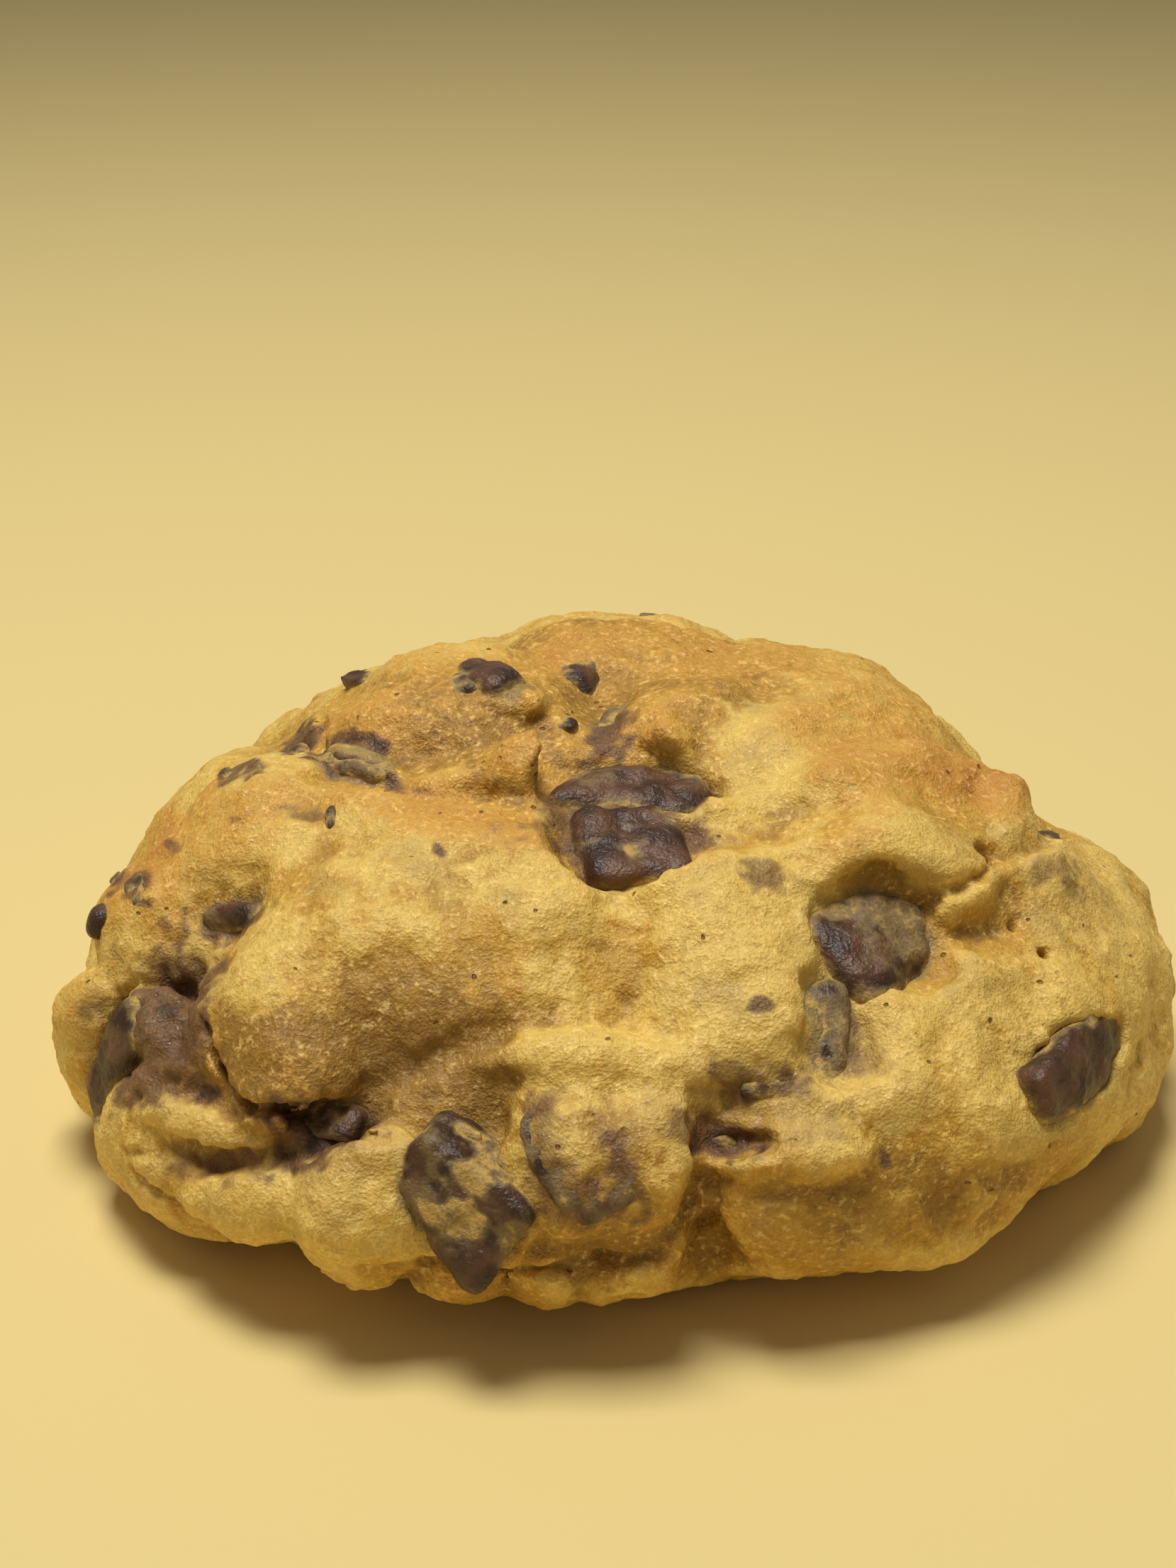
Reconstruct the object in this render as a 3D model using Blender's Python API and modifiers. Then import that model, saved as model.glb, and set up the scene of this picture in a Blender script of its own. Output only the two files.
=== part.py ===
"""Chocolate chip cookie: a thick lumpy round of dough with chocolate chunks baked into it.

Everything is placed on one guide, a dome with a flat underside. A place on the dome is a
bearing (0 is the front, 90 the right, 180 the back), a climb (0 is the widest line, 90 the
top) and a stand, the height of a lobe's or chunk's outermost point over the dome.
The dough is a core and its lobes, joined and softened, with a hollow cut for each opening
and a pocket cut for each chunk. Angles are in degrees and tables are in millimetres.
"""
import math

import bmesh
import bpy
from mathutils import Matrix, Vector, noise

MM = 0.001

# The guide dome: its centre, half sizes, the height of its widest line, and its rise above and drop below it
CENTRE_X = 0.0 * MM
CENTRE_Y = 1.7 * MM
HALF_WIDE = 43.0 * MM
HALF_DEEP = 41.0 * MM
WAIST = 7.0 * MM
CROWN = 23.5 * MM
UNDER = 12.0 * MM

# The dough
CORE_SCALE = 0.93
BACK_TAPER = 0.12
TAPER_START = -17.0 * MM
TAPER_LENGTH = 40.0 * MM
FOOT_WIDE = 43.0 * MM
FOOT_DEEP = 36.8 * MM
FOOT_HIGH = 9.0 * MM
FOOT_BACK = 3.0 * MM
FOOT_MIDDLE = 3.5 * MM
VOXEL = 1.1 * MM
SOFTEN_STEPS = 5
LUMP_SIZE = 7.0 * MM
LUMP_HEIGHT = 1.4 * MM
DOUGH_TRIANGLES = 4600
UNDERSIDE_DEPTH = 10.0 * MM

# The chunks
GAP = 0.3 * MM
CHUNK_SEGMENTS = 12
CHUNK_RINGS = 8
CHUNK_LUMP_SIZE = 3.0
CHUNK_LUMP_HEIGHT = 0.10
CURL_RADIUS = 1.1 * MM

# name: bearing, climb, stand, half across, half uphill, half thick, turn
LEFT_LOBES = {
    "crust_back": (-88, 44, -1.6, 9, 9, 6, 0),
    "crust_top": (-64, 50, 1.7, 10, 7.5, 5.5, 14),
    "crust_side": (-64, 34, 0.9, 8, 7, 5, 4),
    "tongue_crest": (-34, 57, 1.2, 12, 8, 5, 6),
    "tongue_turn": (-12, 52, 0.7, 5.5, 5.5, 4, -30),
    "tongue_middle": (-32, 43, 1.7, 10.5, 7.5, 6, 6),
    "tongue_flank": (-13, 43, -0.5, 7, 5.5, 4.5, 0),
    "tongue_low": (-35, 31, 2.4, 6.4, 6.5, 5, -8),
    "tongue_tip": (-32, 24, 3.3, 4.2, 4.6, 4.2, 4),
    "flap": (-65, -4, 0.2, 4, 8, 4.4, -14),
    "flap_back": (-92, 4, -3.2, 9, 8, 5, 0),
    "shelf": (-41, 12, 1.2, 8, 2.4, 3, 12),
    "shelf_end": (-31, 14, 0, 3.5, 1.8, 2.8, 20),
    "left_foot": (-46, -1, 1, 9, 6, 4.2, 10),
    "left_foot_low": (-38, -8, 0, 8, 4.6, 4, 6),
}
MIDDLE_LOBES = {
    "saddle": (-18, 29, -1.4, 7, 5, 4, 6),
    "saddle_low": (-18, 22, -1.4, 5, 3.5, 3.5, 0),
    "ridge": (-1, 32, 0.9, 7.5, 2.6, 3.2, -3),
    "ridge_low": (-1, 27, -0.8, 6, 2.4, 3, 0),
    "mound": (18, 46, 1.2, 6.8, 8, 4.8, -24),
    "mound_lip": (17, 55, 0.9, 5.4, 3, 2.8, -6),
    "mound_low": (15, 37, 0, 6, 4.4, 3.5, -6),
}
FRONT_LOBES = {
    "front_round": (-4, 18, 2.2, 5, 4.8, 3.8, 4),
    "front_round_right": (3, 18, 2, 4, 4.6, 3.6, 0),
    "front_round_top": (-3, 24, 1.1, 4.4, 2, 2.8, 2),
    "front_left": (-22, 8, 2.7, 6, 5.2, 4.6, 16),
    "front_left_tip": (-32, 5, 2.4, 6.5, 3, 3.4, 12),
    "front_left_top": (-22, 17, 2, 3.8, 1.8, 2.4, 10),
    "foot_left": (-13, -6, 0.1, 4, 4, 3.6, 0),
    "foot_middle": (-6, -7, -0.3, 3.2, 4, 3.4, 0),
    "foot_right": (2, 1, -0.1, 3.4, 3.2, 3, 0),
    "foot_end": (7, 5, -0.2, 2.4, 2.2, 2.6, 0),
    "foot_centre": (0, -6, -0.6, 3, 3.4, 3.2, 0),
}
RIGHT_LOBES = {
    "brow_a": (52, 62, 1.4, 3.8, 2.4, 2.6, -9),
    "brow_b": (61, 60, 1.6, 3.4, 2.2, 2.4, -9),
    "brow_c": (70, 57, 1.7, 4, 2.4, 2.6, -17),
    "brow_d": (73, 53, 1.7, 4, 2.4, 2.6, -11),
    "brow_e": (73, 47, 1.4, 4.1, 2.6, 2.6, -4),
    "brow_front": (53, 55, 1.3, 8, 5, 4.5, -17),
    "brow_side": (66, 44, 0.6, 6, 5, 4.5, 0),
    "overhang": (45, 50, 2.2, 7.6, 4.6, 4.2, -16),
    "shoulder": (66, 36, -0.2, 9, 5, 4.5, -20),
    "right_band": (64, 24, 0, 10.4, 8, 5.5, -4),
    "big_upper": (42, 30, 0.7, 10, 4.6, 5, -18),
    "big_middle": (33, 18, 1.5, 13.1, 7, 7, -14),
    "big_low": (28, 5, 0.3, 12.5, 6, 6, -6),
    "big_right": (54, 12, 0.8, 10, 8, 6, -14),
    "big_corner": (68, 4, 0.4, 9, 7, 5.5, 0),
    "right_edge": (86, 10, -0.6, 9, 8, 5.5, 0),
    "big_left": (16, 9, 0.6, 6, 4.6, 5.5, -6),
    "big_edge": (17, 17, 1.8, 5, 2.2, 3, -4),
    "overhang_corner": (49, 44, 2, 3.2, 2, 2.8, 9),
}
BACK_LOBES = {
    "knob": (-24, 71, 1.6, 2.8, 2, 2, 8),
    "pale_top": (-37, 68, 0.4, 5.4, 4, 3.2, 13),
    "left_fold": (-76, 65, 0.9, 5.4, 3.3, 3, 30),
    "swirl_fold": (-64, 62, 0.6, 6, 1.9, 2, 33),
    "back_left": (-96, 73, 1.8, 9.5, 10, 5, -23),
    "back_left_end": (-112, 60, -0.6, 9.6, 5.5, 4.5, 25),
    "back_middle": (168, 74, 0.8, 9, 7.5, 4.5, 0),
    "back_fold": (60, 82, 0.8, 5, 4, 3, -15),
    "drip": (20, 74, 0.9, 2, 4.2, 2.4, -20),
    "right_dome": (88, 66, 1.1, 13, 10.5, 6, -20),
    "right_dome_back": (125, 62, 0.2, 11, 10, 5.5, -20),
    "back_low": (180, 40, 0, 14, 12, 7, 0),
    "back_low_left": (-140, 36, -2.8, 13, 11, 7, 0),
    "back_low_right": (132, 34, -2.5, 13, 11, 7, 0),
}
HOLLOWS = {
    "crater": (4, 63, 3.2, 5.4, 5, 3.7, -4),
    "crater_back": (3, 72, 2.6, 6, 3.2, 3.3, -12),
    "crater_hole": (24, 70, 1, 2, 2.3, 2.7, -6),
    "right_hollow": (36, 42, 3, 4.2, 5.4, 3, 22),
    "low_hollow": (24, 34, 2, 2.4, 4, 2.1, -27),
    "left_cavity": (-50, 23, 3.4, 3.4, 5.4, 3.4, 20),
    "under_tongue": (-27, 19.5, 3, 4.2, 2, 3.4, 5),
    "front_slot": (11, 20, 2.6, 2.6, 0.9, 2.6, -8),
    "right_seat": (48, 16.5, 2.8, 5.6, 2.6, 2.6, 4),
    "right_notch": (10, -8, 1.5, 3.4, 6, 3.4, 0),
}

# name: bearing, climb, stand, half across, half uphill, half thick, turn, corner sharpness
CHUNKS = {
    "crater_chunk_back": (0, 74, -2.2, 4.9, 2.6, 2.6, -14, 3),
    "crater_chunk_front": (4, 62.5, -1.1, 4, 3.5, 2.8, 16, 2.6),
    "hollow_chunk": (37, 43.5, -1.5, 4.3, 5.5, 2.6, 22, 3),
    "low_chunk": (23.5, 33.5, -1, 2.1, 4, 2, -25, 2.6),
    "right_chunk": (47.5, 16, 1.8, 6, 2.7, 2.8, 6, 3.2),
    "front_chunk": (-13, 13.5, 3.1, 3.1, 6, 3.2, 42, 3),
    "left_slab": (-55, 11, 0.3, 2.3, 5.6, 2.6, -20, 3.4),
    "under_tongue_chunk": (-27, 19, 0.2, 2.8, 1.4, 2.6, 7, 2.8),
    "pyramid_chunk": (-71, 78.5, 3.2, 3.2, 2.4, 2.6, 24, 2.4),
    "rim_chunk": (0, 84, -0.9, 1.2, 3.4, 1.8, -20, 2.6),
    "swirl_chunk": (-63, 61, 1, 4.2, 1.6, 1.8, 31, 2.6),
    "crust_chunk": (-50, 40, -0.2, 3.6, 1.3, 1.8, 24, 2.8),
    "flap_chunk": (-62, 17, 0.4, 1.4, 1.7, 1.6, 0, 2.6),
    "back_chunk_a": (155, 38, -1.6, 4.2, 3, 2.8, 25, 3),
    "back_chunk_b": (-152, 30, -1.5, 3.4, 4.4, 2.8, -20, 3),
    "back_chunk_c": (122, 10, -2.4, 3, 3.8, 2.6, 15, 2.8),
}
# bearing, climb and stand of the middle of a half-melted curl of chocolate on the front lobe
CURL_ROUTE = [
    (-6.2, 26, 1.2),
    (-7.3, 23.5, 1.4),
    (-6.3, 20.5, 1.6),
    (-4.7, 17.8, 1.8),
    (-3.4, 15, 1.8),
    (-1.8, 13.8, 1.8),
    (0.2, 15, 1.8),
    (1.5, 17, 1.8),
    (1.7, 19.2, 1.7),
    (0.4, 21.4, 1.6),
]

DOUGH_COLOUR = (0.51, 0.32, 0.10, 1.0)
CHOCOLATE_COLOUR = (0.075, 0.036, 0.022, 1.0)


def clear_scene():
    for item in list(bpy.data.objects):
        bpy.data.objects.remove(item, do_unlink=True)


def make_collection(name):
    collection = bpy.data.collections.new(name)
    bpy.context.scene.collection.children.link(collection)
    return collection


def make_material(name, colour, roughness):
    material = bpy.data.materials.new(name)
    material.use_nodes = True
    shader = material.node_tree.nodes["Principled BSDF"]
    shader.inputs["Base Color"].default_value = colour
    shader.inputs["Roughness"].default_value = roughness
    shader.inputs["Metallic"].default_value = 0.0
    return material


def seat(bearing, climb, stand):
    """Frame at a place over the dome: X runs sideways, Y uphill and Z outward."""
    b, c = math.radians(bearing), math.radians(climb)
    rise = CROWN if climb >= 0 else UNDER
    unit = Vector((math.cos(c) * math.sin(b), -math.cos(c) * math.cos(b), math.sin(c)))
    skin = Vector((unit.x * HALF_WIDE + CENTRE_X, unit.y * HALF_DEEP + CENTRE_Y, unit.z * rise + WAIST))
    outward = Vector((unit.x / HALF_WIDE, unit.y / HALF_DEEP, unit.z / rise)).normalized()
    sideways = Vector((math.cos(b), math.sin(b), 0))
    sideways = (sideways - outward * sideways.dot(outward)).normalized()
    uphill = outward.cross(sideways)
    frame = Matrix((sideways, uphill, outward)).transposed().to_4x4()
    frame.translation = skin + outward * stand * MM
    return frame


def lobe_matrix(bearing, climb, stand, across, uphill, thick, turn):
    """A unit ball under this matrix becomes the lobe, its outermost point at the stand."""
    sizes = Matrix.Diagonal((across * MM, uphill * MM, thick * MM, 1))
    return seat(bearing, climb, stand - thick) @ Matrix.Rotation(math.radians(turn), 4, "Z") @ sizes


def add_object(name, shape, collection, material=None):
    mesh = bpy.data.meshes.new(name)
    shape.to_mesh(mesh)
    shape.free()
    mesh.shade_smooth()
    if material:
        mesh.materials.append(material)
    item = bpy.data.objects.new(name, mesh)
    collection.objects.link(item)
    return item


def hide_cutter(cutter):
    cutter.hide_render = True
    cutter.display_type = "WIRE"


def add_core(shape):
    """The middle of the dough: the dome made smaller, narrower towards the back."""
    ball = bmesh.ops.create_uvsphere(shape, u_segments=64, v_segments=32, radius=1.0)
    for vert in ball["verts"]:
        rise = CROWN * CORE_SCALE if vert.co.z >= 0 else UNDER
        x, y = vert.co.x * HALF_WIDE * CORE_SCALE, vert.co.y * HALF_DEEP * CORE_SCALE
        back = min(max((y - TAPER_START) / TAPER_LENGTH, 0), 1)
        back = back * back * (3 - 2 * back)
        vert.co = Vector((x * (1 - BACK_TAPER * back) + CENTRE_X, y + CENTRE_Y, vert.co.z * rise + WAIST))


def add_foot(shape):
    """The low round that the cookie stands on, a little behind the dome's centre."""
    middle = Matrix.Translation((CENTRE_X, CENTRE_Y + FOOT_BACK, FOOT_MIDDLE))
    sizes = Matrix.Diagonal((FOOT_WIDE, FOOT_DEEP, FOOT_HIGH, 1))
    bmesh.ops.create_uvsphere(shape, u_segments=64, v_segments=24, radius=1.0, matrix=middle @ sizes)


def make_dough(collection, cutters, material, chunks):
    shape = bmesh.new()
    add_core(shape)
    add_foot(shape)
    for lobes in (LEFT_LOBES, MIDDLE_LOBES, FRONT_LOBES, RIGHT_LOBES, BACK_LOBES):
        for place in lobes.values():
            bmesh.ops.create_uvsphere(shape, u_segments=24, v_segments=14, radius=1.0, matrix=lobe_matrix(*place))
    dough = add_object("dough", shape, collection, material)

    join = dough.modifiers.new("join lobes", "REMESH")
    join.mode = "VOXEL"
    join.voxel_size = VOXEL
    join.use_smooth_shade = True

    hollows = make_collection("hollows")
    for name, place in HOLLOWS.items():
        shape = bmesh.new()
        bmesh.ops.create_uvsphere(shape, u_segments=20, v_segments=12, radius=1.0, matrix=lobe_matrix(*place))
        hide_cutter(add_object(name, shape, hollows))
    scoop = dough.modifiers.new("scoop hollows", "BOOLEAN")
    scoop.operand_type = "COLLECTION"
    scoop.collection = hollows

    again = dough.modifiers.new("even faces", "REMESH")
    again.mode = "VOXEL"
    again.voxel_size = VOXEL
    again.use_smooth_shade = True

    soften = dough.modifiers.new("soften", "SMOOTH")
    soften.factor = 0.5
    soften.iterations = SOFTEN_STEPS

    clouds = bpy.data.textures.new("dough lumps", "CLOUDS")
    clouds.noise_scale = LUMP_SIZE
    lumps = dough.modifiers.new("lumps", "DISPLACE")
    lumps.texture = clouds
    lumps.texture_coords = "LOCAL"
    lumps.strength = LUMP_HEIGHT
    lumps.mid_level = 0.5

    thin_out = dough.modifiers.new("fewer faces", "DECIMATE")
    bpy.context.view_layer.update()
    full = dough.evaluated_get(bpy.context.evaluated_depsgraph_get()).to_mesh()
    thin_out.ratio = DOUGH_TRIANGLES / sum(len(face.vertices) - 2 for face in full.polygons)

    shape = bmesh.new()
    slab = Matrix.Translation((0, 0, -UNDERSIDE_DEPTH / 2))
    slab = slab @ Matrix.Diagonal((4 * HALF_WIDE, 4 * HALF_DEEP, UNDERSIDE_DEPTH, 1))
    bmesh.ops.create_cube(shape, size=1.0, matrix=slab)
    table = add_object("underside_cutter", shape, cutters)
    hide_cutter(table)
    flat = dough.modifiers.new("flat underside", "BOOLEAN")
    flat.object = table

    pockets = make_collection("pockets")
    for chunk in chunks:
        hide_cutter(make_pocket(chunk, pockets))
    room = dough.modifiers.new("chunk pockets", "BOOLEAN")
    room.operand_type = "COLLECTION"
    room.collection = pockets
    return dough


def make_pocket(chunk, collection):
    """The chunk's own shape, grown along its normals by the gap that it keeps to the dough."""
    mesh = chunk.data.copy()
    grown = [vert.co + vert.normal * GAP for vert in chunk.data.vertices]
    for vert, place in zip(mesh.vertices, grown):
        vert.co = place
    mesh.materials.clear()
    pocket = bpy.data.objects.new(chunk.name + "_pocket", mesh)
    collection.objects.link(pocket)
    return pocket


def make_chunk(name, place, sharpness, collection, material):
    """A rounded block: a ball pushed out towards its box, uneven, then sized and seated."""
    shape = bmesh.new()
    ball = bmesh.ops.create_uvsphere(shape, u_segments=CHUNK_SEGMENTS, v_segments=CHUNK_RINGS, radius=1.0)
    matrix = lobe_matrix(*place)
    for vert in ball["verts"]:
        reach = sum(abs(value) ** sharpness for value in vert.co) ** (-1 / sharpness)
        uneven = 1 + CHUNK_LUMP_HEIGHT * noise.noise(matrix @ vert.co / (CHUNK_LUMP_SIZE * MM))
        vert.co = matrix @ (vert.co * reach * uneven)
    return add_object(name, shape, collection, material)


def make_curl(name, collection, material):
    """A half-melted curl of chocolate: a round bar along its route, thin at both ends."""
    curve = bpy.data.curves.new(name, "CURVE")
    curve.dimensions = "3D"
    curve.bevel_depth = CURL_RADIUS
    curve.bevel_resolution = 1
    curve.use_fill_caps = True
    line = curve.splines.new("POLY")
    line.points.add(len(CURL_ROUTE) - 1)
    last = len(CURL_ROUTE) - 1
    for index, (point, place) in enumerate(zip(line.points, CURL_ROUTE)):
        point.co = (*seat(*place).translation, 1)
        point.radius = 0.6 + 0.4 * math.sin(math.pi * index / last)
    guide = bpy.data.objects.new(name + "_guide", curve)
    collection.objects.link(guide)
    bpy.context.view_layer.update()
    mesh = bpy.data.meshes.new_from_object(guide.evaluated_get(bpy.context.evaluated_depsgraph_get()))
    bpy.data.objects.remove(guide, do_unlink=True)
    shape = bmesh.new()
    shape.from_mesh(mesh)
    bpy.data.meshes.remove(mesh)
    bmesh.ops.remove_doubles(shape, verts=shape.verts, dist=0.00001)
    bmesh.ops.recalc_face_normals(shape, faces=shape.faces)
    return add_object(name, shape, collection, material)


def main():
    clear_scene()
    cookie = make_collection("chocolate chip cookie")
    cutters = make_collection("cutters")
    baked_dough = make_material("baked dough", DOUGH_COLOUR, 0.6)
    chocolate = make_material("chocolate", CHOCOLATE_COLOUR, 0.4)
    chunks = [make_chunk(name, row[:7], row[7], cookie, chocolate) for name, row in CHUNKS.items()]
    chunks.append(make_curl("chocolate_curl", cookie, chocolate))
    make_dough(cookie, cutters, baked_dough, chunks)


main()
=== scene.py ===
import math
from itertools import product

import bpy
import numpy as np
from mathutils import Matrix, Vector


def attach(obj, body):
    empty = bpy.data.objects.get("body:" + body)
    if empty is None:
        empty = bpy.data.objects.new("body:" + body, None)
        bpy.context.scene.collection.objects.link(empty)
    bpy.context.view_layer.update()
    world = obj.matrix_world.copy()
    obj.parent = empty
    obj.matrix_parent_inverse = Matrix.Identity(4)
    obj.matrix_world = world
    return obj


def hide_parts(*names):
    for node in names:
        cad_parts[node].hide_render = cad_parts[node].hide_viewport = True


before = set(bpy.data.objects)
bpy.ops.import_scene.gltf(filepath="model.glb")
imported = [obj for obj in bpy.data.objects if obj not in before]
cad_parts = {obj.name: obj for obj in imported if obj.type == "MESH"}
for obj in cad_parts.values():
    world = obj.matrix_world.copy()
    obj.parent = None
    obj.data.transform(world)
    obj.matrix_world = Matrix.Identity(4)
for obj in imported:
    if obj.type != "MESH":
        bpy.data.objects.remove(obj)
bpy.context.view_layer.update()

# A thick, folded chocolate chip cookie. Shapes are worked out in millimetres and go into their meshes in metres.
# Every place is given on one guide, a dome with a flat underside: a bearing (0 is the front, 90 the right, 180 the
# back), a climb (0 is the widest line, 90 the top) and a stand, the height of a point over the dome. Angles are degrees.
mm = 0.001
dome = dict(centreX=0.0, centreY=1.7, halfWide=43.0, halfDeep=41.0, waist=7.0, crown=23.5, under=12.0)


def domeFrame(bearing, climb, stand=0.0):
    # a point over the dome, and the directions sideways, uphill and outward there, as the columns of a frame
    bearing, climb, stand = np.broadcast_arrays(*(np.asarray(value, float) for value in (bearing, climb, stand)))
    b, c = np.radians(bearing), np.radians(climb)
    size = np.stack([np.full(b.shape, dome["halfWide"]), np.full(b.shape, dome["halfDeep"]),
                     np.where(climb >= 0, dome["crown"], dome["under"])], -1)
    unit = np.stack([np.cos(c) * np.sin(b), -np.cos(c) * np.cos(b), np.sin(c)], -1)
    outward = unit / size
    outward /= np.linalg.norm(outward, axis=-1, keepdims=True)
    sideways = np.stack([np.cos(b), np.sin(b), np.zeros(b.shape)], -1)
    sideways -= outward * (sideways * outward).sum(-1, keepdims=True)
    sideways /= np.linalg.norm(sideways, axis=-1, keepdims=True)
    uphill = np.cross(outward, sideways)
    point = unit * size + [dome["centreX"], dome["centreY"], dome["waist"]] + outward * stand[..., None]
    return point, np.stack([sideways, uphill, outward], -1)


def lobeFrame(bearing, climb, stand, across, uphill, thick, turn):
    # the middle of a lobe whose outermost point is at the stand, its frame turned about the outward line, and its sizes
    middle, axes = domeFrame(bearing, climb, stand - thick)
    t = math.radians(turn)
    spin = np.array([[math.cos(t), -math.sin(t), 0], [math.sin(t), math.cos(t), 0], [0, 0, 1]])
    return middle, axes @ spin, np.array([across, uphill, thick], float)


def ballDistance(local, sizes):
    # roughly how far a point is outside an ellipsoid: (k0 * (k0 - 1)) / k1, with k0 the length of the point over the
    # sizes and k1 the length of the point over the sizes squared
    k0 = np.sqrt(sum((value / size) ** 2 for value, size in zip(local, sizes)))
    k1 = np.sqrt(sum((value / size ** 2) ** 2 for value, size in zip(local, sizes)))
    return (k0 * (k0 - 1) / (k1 + 1e-6)).astype(np.float32)


def lobeDistance(x, y, z, middle, axes, sizes):
    local = [axes[0, i] * (x - middle[0]) + axes[1, i] * (y - middle[1]) + axes[2, i] * (z - middle[2])
             for i in range(3)]
    return ballDistance(local, sizes)


def smoothMin(a, b, blend):
    # the smaller of two distances, rounded where they are within the blend of each other
    h = np.clip(0.5 + 0.5 * (b - a) / blend, 0, 1)
    return b * (1 - h) + a * h - blend * h * (1 - h)


def smoothMax(a, b, blend):
    return -smoothMin(-a, -b, blend)


def smoothStep(low, high, value):
    t = np.clip((value - low) / (high - low), 0, 1)
    return t * t * (3 - 2 * t)


def grain(points, size, seed):
    # gradient noise of about -1 to 1: in each cell of the given size, the eight corners' slopes eased into each other
    rng = np.random.default_rng(seed)
    slopes = rng.normal(size=(4096, 3))
    slopes = (slopes / np.linalg.norm(slopes, axis=1)[:, None]).astype(np.float32)
    q = np.asarray(points, float) / size + rng.random(3) * 100
    cell = np.floor(q).astype(np.int64)
    f = (q - cell).astype(np.float32)
    ease = f * f * f * (f * (f * 6 - 15) + 10)
    total = np.zeros(f.shape[:-1], np.float32)
    for corner in product((0, 1), repeat=3):
        at = (cell + corner) * (73856093, 19349663, 83492791)
        slope = slopes[(at[..., 0] ^ at[..., 1] ^ at[..., 2]) & 4095]
        weight = np.prod(np.where(np.array(corner) == 1, ease, 1 - ease), axis=-1)
        total += weight * (slope * (f - np.array(corner, np.float32))).sum(-1)
    return total * 1.6


# Materials

class Wire:
    # one output socket of a material: an expression on wires adds its Math nodes
    def __init__(self, finish, socket):
        self.finish = finish
        self.socket = socket

    def maths(self, operation, first, second):
        return self.finish.add("ShaderNodeMath", {"operation": operation}, {0: first, 1: second})

    def __add__(self, other):
        return self.maths("ADD", self, other)

    def __radd__(self, other):
        return self.maths("ADD", other, self)

    def __sub__(self, other):
        return self.maths("SUBTRACT", self, other)

    def __rsub__(self, other):
        return self.maths("SUBTRACT", other, self)

    def __mul__(self, other):
        return self.maths("MULTIPLY", self, other)

    def __rmul__(self, other):
        return self.maths("MULTIPLY", other, self)

    def __truediv__(self, other):
        return self.maths("DIVIDE", self, other)

    def __pow__(self, other):
        return self.maths("POWER", self, other)


class Finish:
    # a material being wired up, ending in one Principled shader
    def __init__(self, name):
        self.material = bpy.data.materials.new(name)
        self.material.use_nodes = True
        self.tree = self.material.node_tree
        self.tree.nodes.clear()

    def add(self, kind, settings=None, values=None, output=0):
        # settings come before sockets, because some of them change what the sockets mean
        node = self.tree.nodes.new(kind)
        for key, value in (settings or {}).items():
            if key == "stops":
                ramp = node.color_ramp
                for place, shade in value[2:]:
                    ramp.elements.new(place)
                for element, (place, shade) in zip(ramp.elements, value):
                    element.position, element.color = place, shade
            else:
                setattr(node, key, value)
        for key, value in (values or {}).items():
            if isinstance(value, Wire):
                self.tree.links.new(value.socket, node.inputs[key])
            else:
                node.inputs[key].default_value = value
        return Wire(self, node.outputs[output]) if node.outputs else None

    def place(self):
        return self.add("ShaderNodeTexCoord", output="Object")

    def noise(self, size, detail=2.0, roughness=0.5, offset=0.0):
        # clouds whose lumps are about this many millimetres across
        start = self.add("ShaderNodeVectorMath", {"operation": "ADD"}, {0: self.place(), 1: (offset, offset, offset)})
        return self.add("ShaderNodeTexNoise", {"noise_dimensions": "3D"},
                        {"Vector": start, "Scale": 1 / (size * mm), "Detail": detail, "Roughness": roughness})

    def noiseColour(self, size):
        return self.add("ShaderNodeTexNoise", {"noise_dimensions": "3D"},
                        {"Vector": self.place(), "Scale": 1 / (size * mm), "Detail": 1.0}, "Color")

    def attribute(self, name):
        return self.add("ShaderNodeAttribute", {"attribute_name": name}, output="Fac")

    def between(self, value, low, high):
        # 0 below low, 1 above high, eased in between
        return self.add("ShaderNodeMapRange", {"interpolation_type": "SMOOTHSTEP"},
                        {"Value": value, "From Min": low, "From Max": high, "To Min": 0.0, "To Max": 1.0})

    def mix(self, factor, first, second, how="MIX"):
        return self.add("ShaderNodeMix", {"data_type": "RGBA", "blend_type": how, "clamp_factor": True},
                        {0: factor, 6: first, 7: second}, output=2)

    def bump(self, height, distance, strength=1.0, normal=None):
        values = {"Height": height, "Distance": distance * mm, "Strength": strength}
        if normal:
            values["Normal"] = normal
        return self.add("ShaderNodeBump", values=values)

    def shade(self, values):
        shader = self.add("ShaderNodeBsdfPrincipled", values=values, output="BSDF")
        self.add("ShaderNodeOutputMaterial", values={"Surface": shader})
        return self.material


def colour(red, green, blue):
    # a screen colour, 0 to 255, as the linear light that a shader mixes
    return tuple(((v / 255 + 0.055) / 1.055) ** 2.4 if v > 10 else v / 255 / 12.92 for v in (red, green, blue)) + (1.0,)


# The dough: a core and its lobes joined, hollows scooped out of it, creases pressed along its skin

doughLook = dict(
    step=0.34, mostTriangles=195000,  # the cube grid that the surface is read from, and the faces kept
    coreScale=0.93, footWide=43.0, footDeep=36.8, footBack=3.0, footHigh=9.0, footMiddle=3.5, footBlend=3.0, backTaper=0.12, taperStart=-17.0, taperLength=40.0,
    bendings=((12.0, 1.0), (4.5, 0.5)),  # size and push of the clouds that bend every lobe
    crumb=((5.0, 0.34), (2.4, 0.20), (1.1, 0.15)),  # size and height of the lumps in the smooth skin
    tornCrumb=((1.7, 0.42), (0.9, 0.22)),  # and of those in the torn places
    fineGrain=((0.8, 0.12),),
    rimBlend=0.9,  # how round the foot is
    nest=0.7, nestBlend=0.7,  # how much wider than a chunk the dough round it is, and how far that dough climbs
)

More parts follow.
